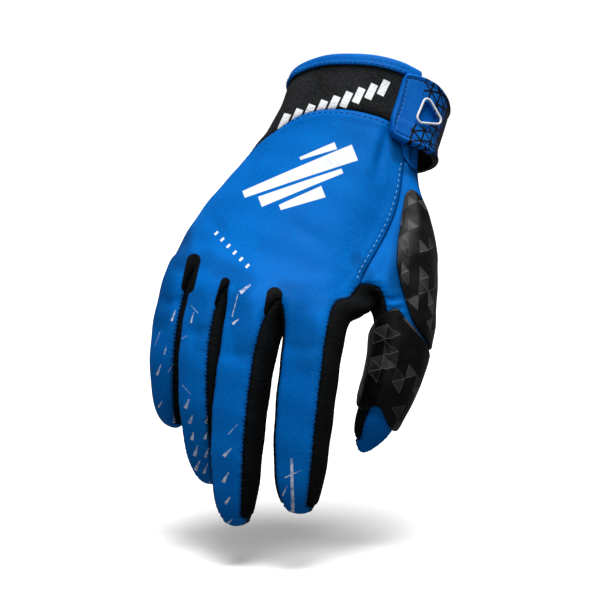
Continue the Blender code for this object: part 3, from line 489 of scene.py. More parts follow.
def middles_round(points, quads, count):
    """The mean of the middles of the quads round each point; 0 where there is no quad."""
    shared = np.maximum(np.bincount(quads.ravel(), minlength=count), 1)[:, None]
    return spread(points[quads].mean(1), quads, count) / shared


def ways_out(points, quads, rounds=0):
    """Unit normals: the quads' crossed diagonals added up at each point, then averaged with
    the quads round it for some rounds, which keeps a wall's inner side from folding."""
    ways = spread(crossed_diagonals(points, quads), quads, len(points))
    for _ in range(rounds):
        ways = unit_rows(ways)
        ways = ways + spread(ways[quads].mean(1), quads, len(points)) / 4
    return unit_rows(ways)


edge_from, edge_to = skin_quads.ravel(), np.roll(skin_quads, -1, axis=1).ravel()
edge_owner = np.repeat(skin_panels, 4)
edge_key = np.minimum(edge_from, edge_to) * len(skin) + np.maximum(edge_from, edge_to)
by_key = np.argsort(edge_key, kind="stable")
paired = edge_key[by_key][1:] == edge_key[by_key][:-1]
edge_twin = np.full(len(edge_key), -1)
edge_twin[by_key[:-1][paired]], edge_twin[by_key[1:][paired]] = by_key[1:][paired], by_key[:-1][paired]
open_edges = edge_twin < 0
seam_edges = ~open_edges & (edge_owner != edge_owner[edge_twin])


def runs_of(chosen):
    """The chosen edges strung together, end to end, as lists of points."""
    follow = dict(zip(edge_from[chosen].tolist(), edge_to[chosen].tolist()))
    starts = sorted(set(follow) - set(follow.values())) or sorted(follow)[:1]
    runs = []
    for first in starts:
        run = [first]
        while run[-1] in follow and follow[run[-1]] != first:
            run.append(follow[run[-1]])
        runs.append(np.array(run))
    return runs


def walked_from(seeds, reach, points):
    """Distance over the skin from the seed points: each round takes the shortest way through
    a neighbour, straight or across a quad."""
    start = np.concatenate([edge_from, edge_to, skin_quads.ravel()])
    end = np.concatenate([edge_to, edge_from, np.roll(skin_quads, 2, axis=1).ravel()])
    by_end = np.argsort(end, kind="stable")
    start, end = start[by_end], end[by_end]
    steps = np.linalg.norm(points[start] - points[end], axis=1)
    firsts = np.searchsorted(end, np.arange(len(points)))
    walked = np.full(len(points), 1.0)
    walked[seeds] = 0.0
    for _ in range(reach):
        walked = np.minimum(walked, np.minimum.reduceat(walked[start] + steps, firsts))
    return walked


def to_line(points, line):
    """Distance from points to a line of straight runs, and the share of the line passed."""
    nearest, passed = np.full(len(points), np.inf), np.zeros(len(points))
    for order, (a, b) in enumerate(zip(line[:-1], line[1:])):
        share = np.clip((points - a) @ (b - a) / ((b - a) @ (b - a)), 0.0, 1.0)
        away = np.linalg.norm(points - a - share[:, None] * (b - a), axis=1)
        passed = np.where(away < nearest, (order + share) / (len(line) - 1), passed)
        nearest = np.minimum(nearest, away)
    return nearest, passed


def seen_on(tree, places):
    """Points where the view's lines through the picture's places meet a surface."""
    met = [tree.ray_cast(Vector(camera_place), Vector(way))[0] for way in sight(places)]
    return np.array([point for point in met if point])


out_ways = ways_out(skin, skin_quads)
skin_tree = BVHTree.FromPolygons(skin.tolist(), skin_quads.tolist())

# The cloth's relief. Seams sink, with a soft swell beside them and small puckers from the
# thread; folds are lines in the picture with a depth and a breadth in metres.
from_seam = walked_from(np.concatenate([edge_from[seam_edges], edge_to[seam_edges]]), 24, skin)
seam_depth, seam_breadth, swell = 0.0004, 0.0009, 0.0003
swell_place, swell_breadth, slack = 0.0032, 0.0018, 0.00022
pucker_pitch, pucker_depth, pucker_breadth, puckers_under = 0.0017, 0.00016, 0.0019, -0.075
relief = -seam_depth * np.exp(-((from_seam / seam_breadth) ** 2))
relief += swell * np.exp(-(((from_seam - swell_place) / swell_breadth) ** 2))
relief += pucker_depth * np.cos(2 * np.pi * skin[:, 2] / pucker_pitch) * np.exp(
    -((from_seam / pucker_breadth) ** 2)) * (skin[:, 2] < puckers_under)
relief += slack * np.sin(skin @ [210.0, 90.0, 160.0]) * np.sin(skin @ [-120.0, 170.0, 190.0])
folds = [
    # depth, breadth, the line in the picture's pixels
    (-0.0011, 0.0024, [(390, 128), (384, 146), (380, 162), (378, 178)]),
    (0.0007, 0.0026, [(380, 128), (373, 148), (369, 168)]),
    (-0.0007, 0.0030, [(196, 212), (208, 217), (222, 232)]),
    (-0.0006, 0.0030, [(262, 152), (250, 166), (243, 176)]),
    (-0.0009, 0.0013, [(376, 296), (392, 300), (408, 297)]),
    (-0.0008, 0.0012, [(380, 307), (394, 310), (409, 306)]),
    (-0.0007, 0.0012, [(386, 317), (397, 319), (409, 315)]),
    (-0.0006, 0.0026, [(160, 300), (170, 303), (181, 301)]),
    (-0.0005, 0.0024, [(188, 330), (200, 333), (212, 331)]),
    (-0.0005, 0.0026, [(222, 352), (236, 356), (250, 353)]),
    (-0.0005, 0.0026, [(284, 345), (303, 350), (326, 346)]),
    (-0.0006, 0.0032, [(345, 220), (352, 236), (352, 256)]),
    (-0.0005, 0.0030, [(300, 228), (318, 240), (326, 258)]),
    (-0.0008, 0.0020, [(364, 409), (376, 414), (390, 415)]),
]
for depth, breadth, places in folds:
    away, passed = to_line(skin, seen_on(skin_tree, places))
    relief += depth * np.exp(-((away / breadth) ** 2)) * np.sin(np.pi * (0.08 + 0.84 * passed)) ** 0.6
skin = skin + relief[:, None] * out_ways
out_ways = ways_out(skin, skin_quads)
calm_ways = ways_out(skin, skin_quads, 60)
skin_tree = BVHTree.FromPolygons(skin.tolist(), skin_quads.tolist())


def add_piece(name, points, faces, finishes, node, owners=None, marks=None):
    """A finished mesh that stands for its node: soft shading, its materials and its marks,
    which are values at its points that the material reads by name."""
    mesh = bpy.data.meshes.new(name)
    mesh.from_pydata(np.asarray(points).tolist(), [], faces if isinstance(faces, list) else faces.tolist())
    for finish in finishes:
        mesh.materials.append(finish)
    if owners is not None:
        mesh.polygons.foreach_set("material_index", owners)
    for mark, values in (marks or {}).items():
        kind = "FLOAT" if np.ndim(values) == 1 else "FLOAT_VECTOR"
        held = mesh.attributes.new(mark, kind, "POINT")
        held.data.foreach_set("value" if kind == "FLOAT" else "vector", np.ravel(values).astype(np.float32))
    mesh.shade_smooth()
    piece = bpy.data.objects.new(name, mesh)
    bpy.context.scene.collection.objects.link(piece)
    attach(piece, "root")
    if node:
        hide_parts(node)
    return piece


cloth_wall, cuff_wall, half_gap = 0.0013, 0.0024, 0.00015


def sewn_panel(panel, wall, finish):
    """One panel of the skin with a wall: the outside, an inside one wall deeper, and a rim
    between them. The rim stands half a gap back from the seam."""
    name = panel_names[panel]
    own = skin_quads[skin_panels == panel]
    used, quads = np.unique(own, return_inverse=True)
    quads = quads.reshape(-1, 4)
    rim = (edge_owner == panel) & (open_edges | seam_edges)
    rim_from, rim_to = np.searchsorted(used, edge_from[rim]), np.searchsorted(used, edge_to[rim])
    places = skin[used]
    inward = middles_round(places, quads, len(used)) - places
    inward -= np.sum(inward * out_ways[used], 1, keepdims=True) * out_ways[used]
    at_rim = np.zeros(len(used))
    at_rim[rim_from] = 1.0
    length = np.maximum(np.linalg.norm(inward, axis=1), 1e-9)
    places = places + (half_gap * at_rim / length)[:, None] * inward
    inside = places - wall * calm_ways[used]
    count = len(used)
    walls = np.stack([rim_to, rim_from, rim_from + count, rim_to + count], 1)
    faces = np.concatenate([quads, quads[:, ::-1] + count, walls])
    owners = np.repeat([0, 1, 0], [len(quads), len(quads), len(walls)])
    marks = {"from_seam": np.tile(from_seam[used], 2)}
    return add_piece(name, np.concatenate([places, inside]), faces, [finish, lining], name,
                     owners, marks)


def flat_line(begin, end):
    """Start, length and heading on the flattened plane of a line in the picture's pixels."""
    first, last = ((np.array([x, -y]) - [opening_pixel[0], -opening_pixel[1]]) * pixel * 1000.0
                   for x, y in (begin, end))
    return first, float(np.linalg.norm(last - first)), float(np.arctan2(*(last - first)[::-1]))


def beside_line(flat, begin, end):
    """Along and across a line in the picture's pixels, and its length, in millimetres."""
    first, length, heading = flat_line(begin, end)
    turned = flat.node("ShaderNodeMapping", {"vector_type": "TEXTURE"}, Vector=flat,
                       Location=(*first, 0.0), Rotation=(0.0, 0.0, heading))
    return *turned.parts(), length


def bar(flat, begin, end, wide, narrow, soft=0.12):
    """1 on a printed bar from begin to end, given in the picture's pixels; its half width
    goes from wide to narrow, in millimetres."""
    along, across, length = beside_line(flat, begin, end)
    spare = along * ((narrow - wide) / length) + wide - across.sum_of("ABSOLUTE")
    return along.smooth(-soft, soft) * (length - along).smooth(-soft, soft) * spare.smooth(-soft, soft)


def oval(flat, begin, end, radius, soft=0.2):
    """1 on a round-ended strip from begin to end, in the picture's pixels: places whose
    distance from the line between them is under the radius, in millimetres."""
    along, across, length = beside_line(flat, begin, end)
    beyond = along - along.node("ShaderNodeClamp", Value=along, Min=0.0, Max=length)
    return (beyond * beyond + across * across).smooth((radius + soft) ** 2, (radius - soft) ** 2)


def knit(place, cell, depth):
    """A knitted surface: small rounded cells and a finer fuzz, as a bump."""
    loops = place.node("ShaderNodeTexVoronoi", {"feature": "SMOOTH_F1"}, output="Distance",
                       Vector=place, Scale=1.0 / cell, Smoothness=0.6)
    return (loops * 0.7 + place.noise(2.2 / cell, 3.0) * 0.5).bump(0.9, depth)


def printed(flat, prints):
    """1 where any of the bars is printed, and 0 elsewhere."""
    mask = sum((bar(flat, *one) for one in prints), start=0.0)
    return mask.sum_of("MINIMUM", mask, 1.0)


def cloth(name, deep, bright, roughness, cell, depth, gloss, prints=(), faint_prints=(), insets=(),
          shades=()):
    """Knitted cloth: yarns of two tones, darker in the seams, with painted shade in soft ovals where
    the cloth creases or turns from the light, black at the insets, with solid and faint prints.
    The pictures' plane is Object places flattened square to the view, in millimetres, and prints
    lie on its near side only."""
    finish, place, principled = shader(name, Roughness=roughness, Specular_IOR_Level=gloss)
    flat = place.node("ShaderNodeCombineXYZ", X=place.along(1000.0 * view_right),
                      Y=place.along(1000.0 * view_up))
    yarn, cloudy = place.noise(900.0, 3.0, Roughness=0.7), place.noise(42.0, 3.0)
    tone = (yarn * 0.75 + cloudy * 0.45).smooth(0.42, 0.80)
    seam = place.node("ShaderNodeAttribute", {"attribute_name": "from_seam"}, output="Fac")
    colour = seam.smooth(0.0001, 0.0012, 0.4, 0.0).mix(tone.mix(deep, bright), 0.35 * np.array(deep))
    # painted shade: each oval darkens the cloth towards a deep blue where shade or a shadow falls
    for *strip, amount in shades:
        colour = (oval(flat, *strip) * amount).mix(colour, (0.0, 0.008, 0.035))
    for inset in insets:
        colour = oval(flat, *inset).mix(colour, (0.003, 0.0035, 0.004))
    rough = tone * 0.16 + (roughness - 0.08)
    if prints:
        worn = place.noise(700.0, 2.0)
        mask = printed(flat, prints) * worn.smooth(0.25, 0.42, 0.8, 1.0)
        if faint_prints:
            mask = mask + printed(flat, faint_prints) * worn.smooth(0.35, 0.62, 0.25, 0.75)
        mask = mask * place.along(1000.0 * view_back).smooth(2.0, 5.0)
        colour = mask.mix(colour, (0.82, 0.84, 0.86))
        rough = rough - mask * 0.22
    wire(principled, Base_Color=colour, Roughness=rough, Normal=knit(place, cell, depth))
    return finish


lining = cloth("black_lining", (0.004, 0.004, 0.005), (0.010, 0.010, 0.011), 0.92, 0.0012, 0.0002, 0.1)


# The back of the hand and fingers
# One piece of bright blue stretch cloth covers the hand's back and the four fingers' backs.
# It is sewn to the black palm along the little finger's side, and carries flat white prints.
white_bars = [
    # begin, end, half width there in millimetres
    ((246, 199), (352, 160), 1.5, 3.4), ((262, 207), (340, 178), 2.2, 1.0),
    ((281, 213), (322, 198), 1.1, 2.4), ((300, 165), (334, 153), 0.6, 1.5),
]
side_dashes = [((219 + 6.2 * n, 238 + 6.4 * n), (222 + 6.2 * n, 235 + 6.4 * n), 0.45, 0.45)
               for n in range(6)]
finger_shards = [
    ((245, 292), (254, 287), 0.8, 0.3), ((239, 314), (245, 293), 0.22, 0.1),
    ((238, 322), (245, 318), 0.5, 0.2), ((180, 320), (183, 309), 0.4, 0.1),
    ((171, 350), (174, 342), 0.35, 0.1), ((166, 372), (169, 362), 0.5, 0.1),
    ((167, 402), (170, 394), 0.4, 0.1), ((199, 321), (202, 312), 0.35, 0.1),
    ((190, 344), (186, 334), 0.3, 0.1), ((181, 418), (184, 392), 0.5, 0.2),
    ((187, 440), (184, 420), 0.5, 0.15), ((190, 456), (194, 442), 0.5, 0.1),
    ((294, 506), (293, 440), 0.75, 0.45), ((288, 458), (301, 452), 0.25, 0.1),
    ((289, 489), (300, 494), 0.25, 0.1), ((284, 474), (288, 466), 0.3, 0.1),
]
finger_shards += [((195 + 2.3 * n, 400 + 14 * n), (199 + 2.3 * n, 392 + 14 * n), 0.75, 0.15)
                  for n in range(5)]
finger_shards += [((213, 412 + 16 * n), (217, 403 + 16 * n), 0.6, 0.1) for n in range(6)]
finger_shards += [((232, 440 + 22 * n), (238, 431 + 22 * n), 0.7, 0.15) for n in range(4)]
# the shards so far are a little ragged; thin scratches follow
draw = np.random.default_rng(7)
finger_shards = [tuple(tuple(np.add(end, draw.uniform(-1.6, 1.6, 2))) for end in shard[:2]) + shard[2:]
                 for shard in finger_shards]
finger_shards += [((206, 312), (199, 305), 0.09, 0.05), ((196, 333), (188, 337), 0.09, 0.05),
                  ((184, 356), (176, 368), 0.09, 0.05), ((192, 378), (200, 386), 0.09, 0.05),
                  ((270, 340), (276, 347), 0.09, 0.05), ((226, 318), (221, 331), 0.09, 0.05),
                  ((168, 330), (163, 343), 0.09, 0.05), ((236, 420), (244, 411), 0.10, 0.05)]
# begin, end, radius in millimetres: the black tops of the side walls
web_insets = [((199.5, 263.0), (195.0, 287.0), 2.9), ((231.0, 283.5), (225.5, 303.0), 1.8),
              ((276.8, 295.5), (274.5, 310.0), 3.0)]
# begin, end, radius and softness in millimetres, amount: painted shade where the cloth creases
# # or turns from the light, and painted shadow under the strap and its loop
painted_shades = [((181, 203), (188, 262), 3.0, 2.9, 0.50), ((170, 255), (168, 315), 3.5, 3.4, 0.40),
           ((212, 262), (252, 284), 2.6, 2.5, 0.25), ((206, 300), (214, 340), 3.0, 2.9, 0.25),
           ((245, 300), (252, 345), 3.0, 2.9, 0.30), ((290, 296), (326, 294), 3.6, 3.5, 0.26),
           ((298, 318), (308, 350), 4.4, 4.3, 0.30), ((404, 226), (391, 284), 3.0, 2.9, 0.50),
           ((391, 132), (394, 162), 2.2, 2.1, 0.50), ((404, 176), (424, 181), 1.7, 1.6, 0.45),
           ((352, 262), (362, 276), 1.8, 1.7, 0.30)]
blue_cloth = cloth("blue_stretch_cloth", (0.000, 0.112, 0.44), (0.000, 0.148, 0.54), 0.62, 0.0009,
                   0.00007, 0.03, white_bars + side_dashes, finger_shards, web_insets, painted_shades)
sewn_panel(BACK, cloth_wall, blue_cloth)


# The palm
# Black suede-like leather covers the palm and the undersides of the fingers in one piece. It
# is cut and sewn to the back panel and the side walls, and is dull with a fine nap.
def suede(name, deep, bright):
    """Napped leather: fine grain, paler where it is rubbed, and soft clouds of tone."""
    finish, place, principled = shader(name, Roughness=0.8, Specular_IOR_Level=0.2)
    nap, rubbed = place.noise(1400.0, 4.0, Roughness=0.75), place.noise(55.0, 4.0).smooth(0.4, 0.72)
    tone = (nap * 0.8 + rubbed * 0.5).smooth(0.3, 0.95)
    grain = place.node("ShaderNodeTexVoronoi", {"feature": "DISTANCE_TO_EDGE"}, output="Distance",
                       Vector=place, Scale=620.0)
    wire(principled, Base_Color=tone.mix(deep, bright), Roughness=tone * 0.2 + 0.65,
         Normal=(nap * 0.6 + grain.smooth(0.0, 0.25)).bump(0.6, 0.00015))
    return finish


black_suede = suede("black_suede", (0.004, 0.004, 0.005), (0.014, 0.014, 0.015))
sewn_panel(PALM, cloth_wall, black_suede)


# The side walls of the fingers
# Narrow strips of black knit between each two fingers, sewn to the back on one edge and to
# the palm on the other, from one fingertip through the web to the next.
black_knit = cloth("black_knit", (0.002, 0.0025, 0.003), (0.006, 0.0065, 0.007), 0.85, 0.0010, 0.00025, 0.06)
for wall_between in (LITTLE_RING, RING_MIDDLE, MIDDLE_INDEX):
    sewn_panel(wall_between, cloth_wall, black_knit)


# The thumb
# Three panels round the thumb: blue cloth on its back, black suede on its palm side, and a
# black stretch gusset that joins it to the side of the index finger.
sewn_panel(THUMB_BACK, cloth_wall, blue_cloth)
sewn_panel(THUMB_PALM, cloth_wall, black_suede)
sewn_panel(GUSSET, cloth_wall, black_knit)


# The cuff
# A padded band of black heathered knit round the wrist, thicker than the panels, sewn to the
# back and the palm along a curved seam. Its front carries a row of slanted white stripes.
cuff_stripes = [((281 + 12.0 * n, 134 - 3.9 * n), (288 + 12.0 * n, 118 - 3.7 * n), 1.45, 1.45)
                for n in range(9)]
heathered_knit = cloth("heathered_knit", (0.004, 0.0045, 0.005), (0.024, 0.025, 0.027), 0.9, 0.0013,
                       0.0003, 0.12, cuff_stripes)
sewn_panel(CUFF, cuff_wall, heathered_knit)


# The bindings
# Strips of the same blue cloth are folded over the cuff's raw edge and rolled plump at the
# top, one round the opening and a narrower one down and up the slit, and sewn near the edge.
def rounded_loop(corners, count):
    """A closed curve through the corners: between each two, a cubic that leaves and arrives
    along the chords of the neighbours."""
    corners = np.array(corners, float)
    steps = np.arange(count * len(corners)) / count
    order, t = steps.astype(int), (steps % 1.0)[:, None]
    before, first, last, after = (corners[(order + n) % len(corners)] for n in (-1, 0, 1, 2))
    return 0.5 * (2 * first + (last - before) * t + (2 * before - 5 * first + 4 * last - after) * t**2
                  + (3 * first - before - 3 * last + after) * t**3)


def carried(profile, places, outward, away, closed=False):
    """Points and faces of a closed profile carried along a line of places: its two measures
    run outwards and away from the cloth. Its ends are closed, or it closes on itself."""
    points = (places[:, None] + profile[None, :, :1] * outward[:, None]
              + profile[None, :, 1:] * away[:, None]).reshape(-1, 3)
    grid = np.arange(len(points)).reshape(len(places), len(profile))
    below = np.roll(grid, -1, axis=0) if closed else grid[1:]
    above = grid if closed else grid[:-1]
    faces = np.stack([above, np.roll(above, -1, 1), np.roll(below, -1, 1), below], -1).reshape(-1, 4)
    crossed = crossed_diagonals(points, faces)
    if np.sum(crossed * (points[faces].mean(1) - points.mean(0))) < 0 and closed:
        faces = faces[:, ::-1]
    own = points.reshape(*grid.shape, 3)
    spin = np.sum(np.cross(own[1, :] - own[0, :], np.roll(own[0, :], -1, 0) - own[0, :])
                  * (own[0, :] - own[0].mean(0)))
    if not closed and spin > 0:
        faces = faces[:, ::-1]
    faces = faces.tolist()
    if not closed:
        first, last = grid[0].tolist(), grid[-1].tolist()
        faces += [first, last[::-1]] if spin > 0 else [first[::-1], last]
    return points, faces


def calm_line(values, rounds):
    """Values averaged with their neighbours, a quarter, a half and a quarter, for some
    rounds; the two ends stay."""
    for _ in range(rounds):
        values = np.concatenate([values[:1], (values[:-2] + 2 * values[1:-1] + values[2:]) / 4, values[-1:]])
    return values


rim_run = runs_of(open_edges)[0]
rim_places, rim_out = skin[rim_run], calm_ways[rim_run]
rim_along = unit_rows(np.roll(rim_places, -1, 0) - np.roll(rim_places, 1, 0))
rim_away = rim_places - middles_round(skin, skin_quads, len(skin))[rim_run]
rim_away = unit_rows(rim_away - np.sum(rim_away * rim_out, 1, keepdims=True) * rim_out)
rim_away = unit_rows(rim_away - np.sum(rim_away * rim_along, 1, keepdims=True) * rim_along)
corner_at = [int(np.argmin(np.linalg.norm(rim_places - cage_points[hand_index[0, column]], axis=1)))
             for column in (12, 13)]
span = (corner_at[1] - corner_at[0]) % len(rim_run)
first_corner, slit_span = (
    (corner_at[0], span) if span < len(rim_run) / 2 else (corner_at[1], len(rim_run) - span))
slit_run = (first_corner + np.arange(slit_span + 1)) % len(rim_run)
mouth_run = (first_corner + slit_span + np.arange(len(rim_run) - slit_span + 1)) % len(rim_run)
# outwards and away from the cloth's edge, in millimetres: a flap, the roll, and a flap inside
fold_profile = rounded_loop([
    (1.15, -1.7), (1.35, -0.9), (1.25, 0.2), (1.3, 1.2), (1.05, 2.5), (0.1, 3.5), (-1.3, 3.8),
    (-2.7, 3.4), (-3.6, 2.2), (-3.7, 0.6), (-3.4, -1.6), (-2.75, -1.7), (-2.7, 0.2), (-1.2, 0.45),
    (0.3, 0.2), (0.3, -1.6)], 4) / 1000.0
bend_radius, end_roll, end_least, clear_of_seams = 0.025, 0.0016, 0.3, 0.01


def folded_strip(name, run, trim, profile, rounds, reach=0.0):
    """A profile carried along a calmed and trimmed run of the cloth's edge. Its end nearest
    the view may reach on, bending inwards on a circle: the reach's square over two radii. Both
    ends shrink like a half circle."""
    places = calm_line(rim_places[run], rounds)[trim:-trim]
    outward = unit_rows(calm_line(rim_out[run], 3 * rounds))[trim:-trim]
    away = unit_rows(calm_line(rim_away[run], 3 * rounds))[trim:-trim]
    if reach:
        onward = -1 if places[-1] @ view_back < places[0] @ view_back else 1
        places, outward, away = (values[::onward] for values in (places, outward, away))
        steps, ahead = np.linspace(0.0, reach, 14)[1:, None], unit_rows(places[-1] - places[-7])
        more = places[-1] + steps * ahead - steps**2 / (2 * bend_radius) * outward[-1]
        turned = unit_rows(outward[-1] + steps / bend_radius * ahead)
        places, outward = np.concatenate([places, more]), np.concatenate([outward, turned])
        away = np.concatenate([away, np.repeat(away[-1:], len(steps), 0)])
        places, outward, away = (values[::onward] for values in (places, outward, away))
    steps = np.concatenate([[0.0], np.cumsum(np.linalg.norm(np.diff(places, axis=0), axis=1))])
    to_end = np.minimum(steps, steps[-1] - steps)
    plump = np.maximum(np.sqrt(1 - np.clip(1 - to_end / end_roll, 0, 1) ** 2), end_least)[:, None, None]
    points, faces = carried(profile, places, outward, away)
    rings = points.reshape(len(places), -1, 3)
    middle = rings.mean(1, keepdims=True)
    points = (middle + plump * (rings - middle)).reshape(-1, 3)
    add_piece(name, points, faces, [binding_cloth], name,
              marks={"from_seam": np.full(len(points), clear_of_seams)})
    return places, outward, away


binding_cloth = cloth("blue_binding_cloth", (0.000, 0.090, 0.40), (0.000, 0.150, 0.56), 0.6, 0.0006,
                      0.00010, 0.06)
mouth = folded_strip("cuff_binding", mouth_run, 8, fold_profile, 4, 0.0065)
slit = folded_strip("slit_binding", slit_run, 7, fold_profile * [0.75, 0.72], 8)


# The wrist strap
# A moulded rubber tab that closes the cuff over the slit. It has a piped rim, a sewn line
# inside it and a three-cornered window, and its blue face turns black round the side.
strap_rise, strap_wall = 0.0063, 0.0022
strap_course = np.array([
    # turn, stand off, upper edge, lower edge
    (36.0, 0.01, 0.325, 1.190), (33.5, 0.03, 0.250, 1.250), (26.0, 0.13, 0.225, 1.270),
    (18.0, 0.40, 0.225, 1.270), (9.0, 0.80, 0.245, 1.250), (0.0, 1.00, 0.295, 1.225),
    (-7.0, 0.95, 0.330, 1.200), (-14.0, 0.86, 0.360, 1.170), (-22.0, 0.70, 0.360, 1.145),
    (-32.0, 0.43, 0.360, 1.110), (-45.0, 0.10, 0.360, 1.085), (-60.0, 0.01, 0.360, 1.070)])
strap_rows, strap_columns = 72, 150
stand_off_turns = np.linspace(-60.0, 36.0, 193)
stand_offs = calm_line(np.interp(stand_off_turns, strap_course[::-1, 0], strap_course[::-1, 1]), 60)
window_turn, window_place, window_tilt, window_side = 10.5, 0.72, 25.0, 0.0112
window_corner, rim_radius, window_depth = 0.0012, 0.00052, 0.0016


def strap_skin(turn, length, lift):
    """Points of the strap: on the cuff's outline at a turn, plus the stand off and the lift
    along the way out, which is the cross product of the ways round and down."""
    def on_cuff(at, down):
        """Points of the cuff's outline at turns in degrees."""
        return hand_place(down, *superellipse(np.radians(at)))

    around = on_cuff(turn + 0.5, length) - on_cuff(turn - 0.5, length)
    along = on_cuff(turn, length + 0.0005) - on_cuff(turn, length - 0.0005)
    outward = unit_rows(np.cross(around, along))
    outward *= np.sign(np.sum(outward * (on_cuff(turn, length) - spine(length)[0]), -1, keepdims=True))
    stand_off = np.interp(turn, stand_off_turns, stand_offs)
    return on_cuff(turn, length) + (stand_off * strap_rise + lift)[..., None] * outward, outward


def millimetres_over(face):
    """How far each point of a grid lies along its row, and down its column, by steps."""
    steps = [np.linalg.norm(np.diff(face, axis=way), axis=2) for way in (1, 0)]
    across = np.concatenate([np.zeros((len(face), 1)), np.cumsum(steps[0], 1)], 1)
    return across * 1000, np.concatenate([np.zeros((1, face.shape[1])), np.cumsum(steps[1], 0)]) * 1000


turns = 36.0 - 96.0 * np.linspace(0.0, 1.0, strap_columns) ** 1.15
upper, lower = (calm_line(np.interp(turns, strap_course[::-1, 0], strap_course[::-1, n]), 3)
                for n in (2, 3))
shares = (1 - np.cos(np.pi * np.linspace(0.0, 1.0, strap_rows))) / 2
shares = 0.6 * shares + 0.4 * np.linspace(0.0, 1.0, strap_rows)
lengths = cuff_height * (upper + (lower - upper) * shares[:, None])
turn_grid = np.broadcast_to(turns, lengths.shape)
flat_face = strap_skin(turn_grid, lengths, np.full(lengths.shape, strap_wall))[0]
across, down = millimetres_over(flat_face)
border = np.minimum(np.minimum(across, down), down[-1] - down)
edge_roll = -0.7 * (1 - np.sqrt(1 - np.clip(1 - border / 0.8, 0, 1) ** 2))
piping = 0.42 * np.exp(-(((border - 1.0) / 0.5) ** 2))
sewn_line = -0.28 * np.exp(-(((border - 2.3) / 0.28) ** 2))
strap_face = strap_skin(turn_grid, lengths, strap_wall + (edge_roll + piping + sewn_line) / 1000)[0]
strap_under = strap_skin(turn_grid, lengths, np.where(border < 0.5, 0.0002, 0.0))[0]


def closed_sheet(face, under):
    """Points and faces of a sheet with two sides, given as grids, and a rim between them."""
    grid = np.arange(face[..., 0].size).reshape(face.shape[:2])
    quads = np.stack([grid[:-1, :-1], grid[1:, :-1], grid[1:, 1:], grid[:-1, 1:]], -1).reshape(-1, 4)
    ring = np.concatenate([grid[0, :-1], grid[:-1, -1], grid[-1, :0:-1], grid[:0:-1, 0]])
    walls = np.stack([ring, np.roll(ring, -1), np.roll(ring, -1) + grid.size, ring + grid.size], 1)
    points = np.concatenate([face.reshape(-1, 3), under.reshape(-1, 3)])
    faces = np.concatenate([quads, quads[:, ::-1] + grid.size, walls])
    crossed = np.cross(face[-1, 0] - face[0, 0], face[0, -1] - face[0, 0])
    if crossed @ (face.mean((0, 1)) - under.mean((0, 1))) < 0:
        faces = faces[:, ::-1]
    return points, faces


def lattice_lines(place, pitch, breadth):
    """1 on the lines of a triangle lattice: three families of parallel lines, at 60 degrees."""
    lines = 0.0
    for heading in (0.15, 0.15 + np.pi / 3, 0.15 + 2 * np.pi / 3):
        step = place.along((np.cos(heading) / pitch, np.sin(heading) / pitch, 0.0))
        near = step.sum_of("PINGPONG", step, 0.5)
        lines = near.smooth(breadth / pitch, breadth / pitch * 0.5) + lines
    return lines.sum_of("MINIMUM", lines, 1.0)


def moulded_rubber():
    """Satin rubber: blue with black lattice prints at the top, the foot and the flank, black
    round the side, scuffed a little. Bounds are in millimetres along the strap and down it."""
    finish, place, principled = shader("blue_moulded_rubber", Specular_IOR_Level=0.08)
    on_strap = place.node("ShaderNodeUVMap", {"uv_map": "strap_place"}, output="UV")
    run, fall = on_strap.parts()
    grain = place.noise(1500.0, 3.0)
    tone = (grain * 0.4 + place.noise(90.0, 3.0) * 0.6).smooth(0.3, 0.7)
    top = run.smooth(9.2, 9.8) * fall.smooth(8.2, 7.4)
    foot = run.smooth(8.2, 8.8) * fall.smooth(20.2, 21.0)
    where = top.sum_of("MAXIMUM", top.sum_of("MAXIMUM", top, foot), run.smooth(15.6, 16.0))
    lattice = lattice_lines(on_strap, 4.4, 0.55) * where
    dark = lattice.sum_of("MAXIMUM", lattice, run.smooth(21.5, 26.0))
    blue = tone.mix((0.000, 0.095, 0.42), (0.000, 0.135, 0.52))
    wire(principled, Base_Color=dark.mix(blue, (0.006, 0.006, 0.007)), Roughness=tone * 0.12 + 0.42,
         Normal=(grain + lattice * 0.8).bump(0.5, 0.0001))
    return finish


points, faces = closed_sheet(strap_face, strap_under)
strap = add_piece("wrist_strap", points, faces, [moulded_rubber()], "wrist_strap")
strap_places = np.tile(np.stack([across, down], -1).reshape(-1, 2), (2, 1))
strap.data.uv_layers.new(name="strap_place").data.foreach_set("uv", strap_places[faces.ravel()].ravel())


def strap_place(turn, length, lift=0.0):
    """One place on the strap."""
    return strap_skin(*np.array([turn, length, lift]))[0]


window_length, window_step, window_swing = window_place * cuff_height, 0.1 * cuff_height, 6.0
window_middle = strap_place(window_turn, window_length, strap_wall)
window_along = unit_rows(strap_place(window_turn - window_swing, window_length)
                         - strap_place(window_turn + window_swing, window_length))
window_up = (strap_place(window_turn, window_length - window_step)
             - strap_place(window_turn, window_length + window_step))
window_up = unit_rows(window_up - window_up @ window_along * window_along)
window_out = np.cross(window_along, window_up)


def window_outline(reach, steps):
    """A triangle with rounded corners in the window's plane: three arcs of 120 degrees."""
    headings = np.radians(window_tilt + np.array([90.0, 210.0, 330.0]))[:, None]
    arcs = headings + np.radians(np.linspace(-60.0, 60.0, steps))
    tip = window_side / np.sqrt(3) - 2 * window_corner
    radius = window_corner + reach
    flat = np.stack([tip * np.cos(headings) + radius * np.cos(arcs),
                     tip * np.sin(headings) + radius * np.sin(arcs)], -1).reshape(-1, 2)
    return window_middle + flat[:, :1] * window_along + flat[:, 1:] * window_up


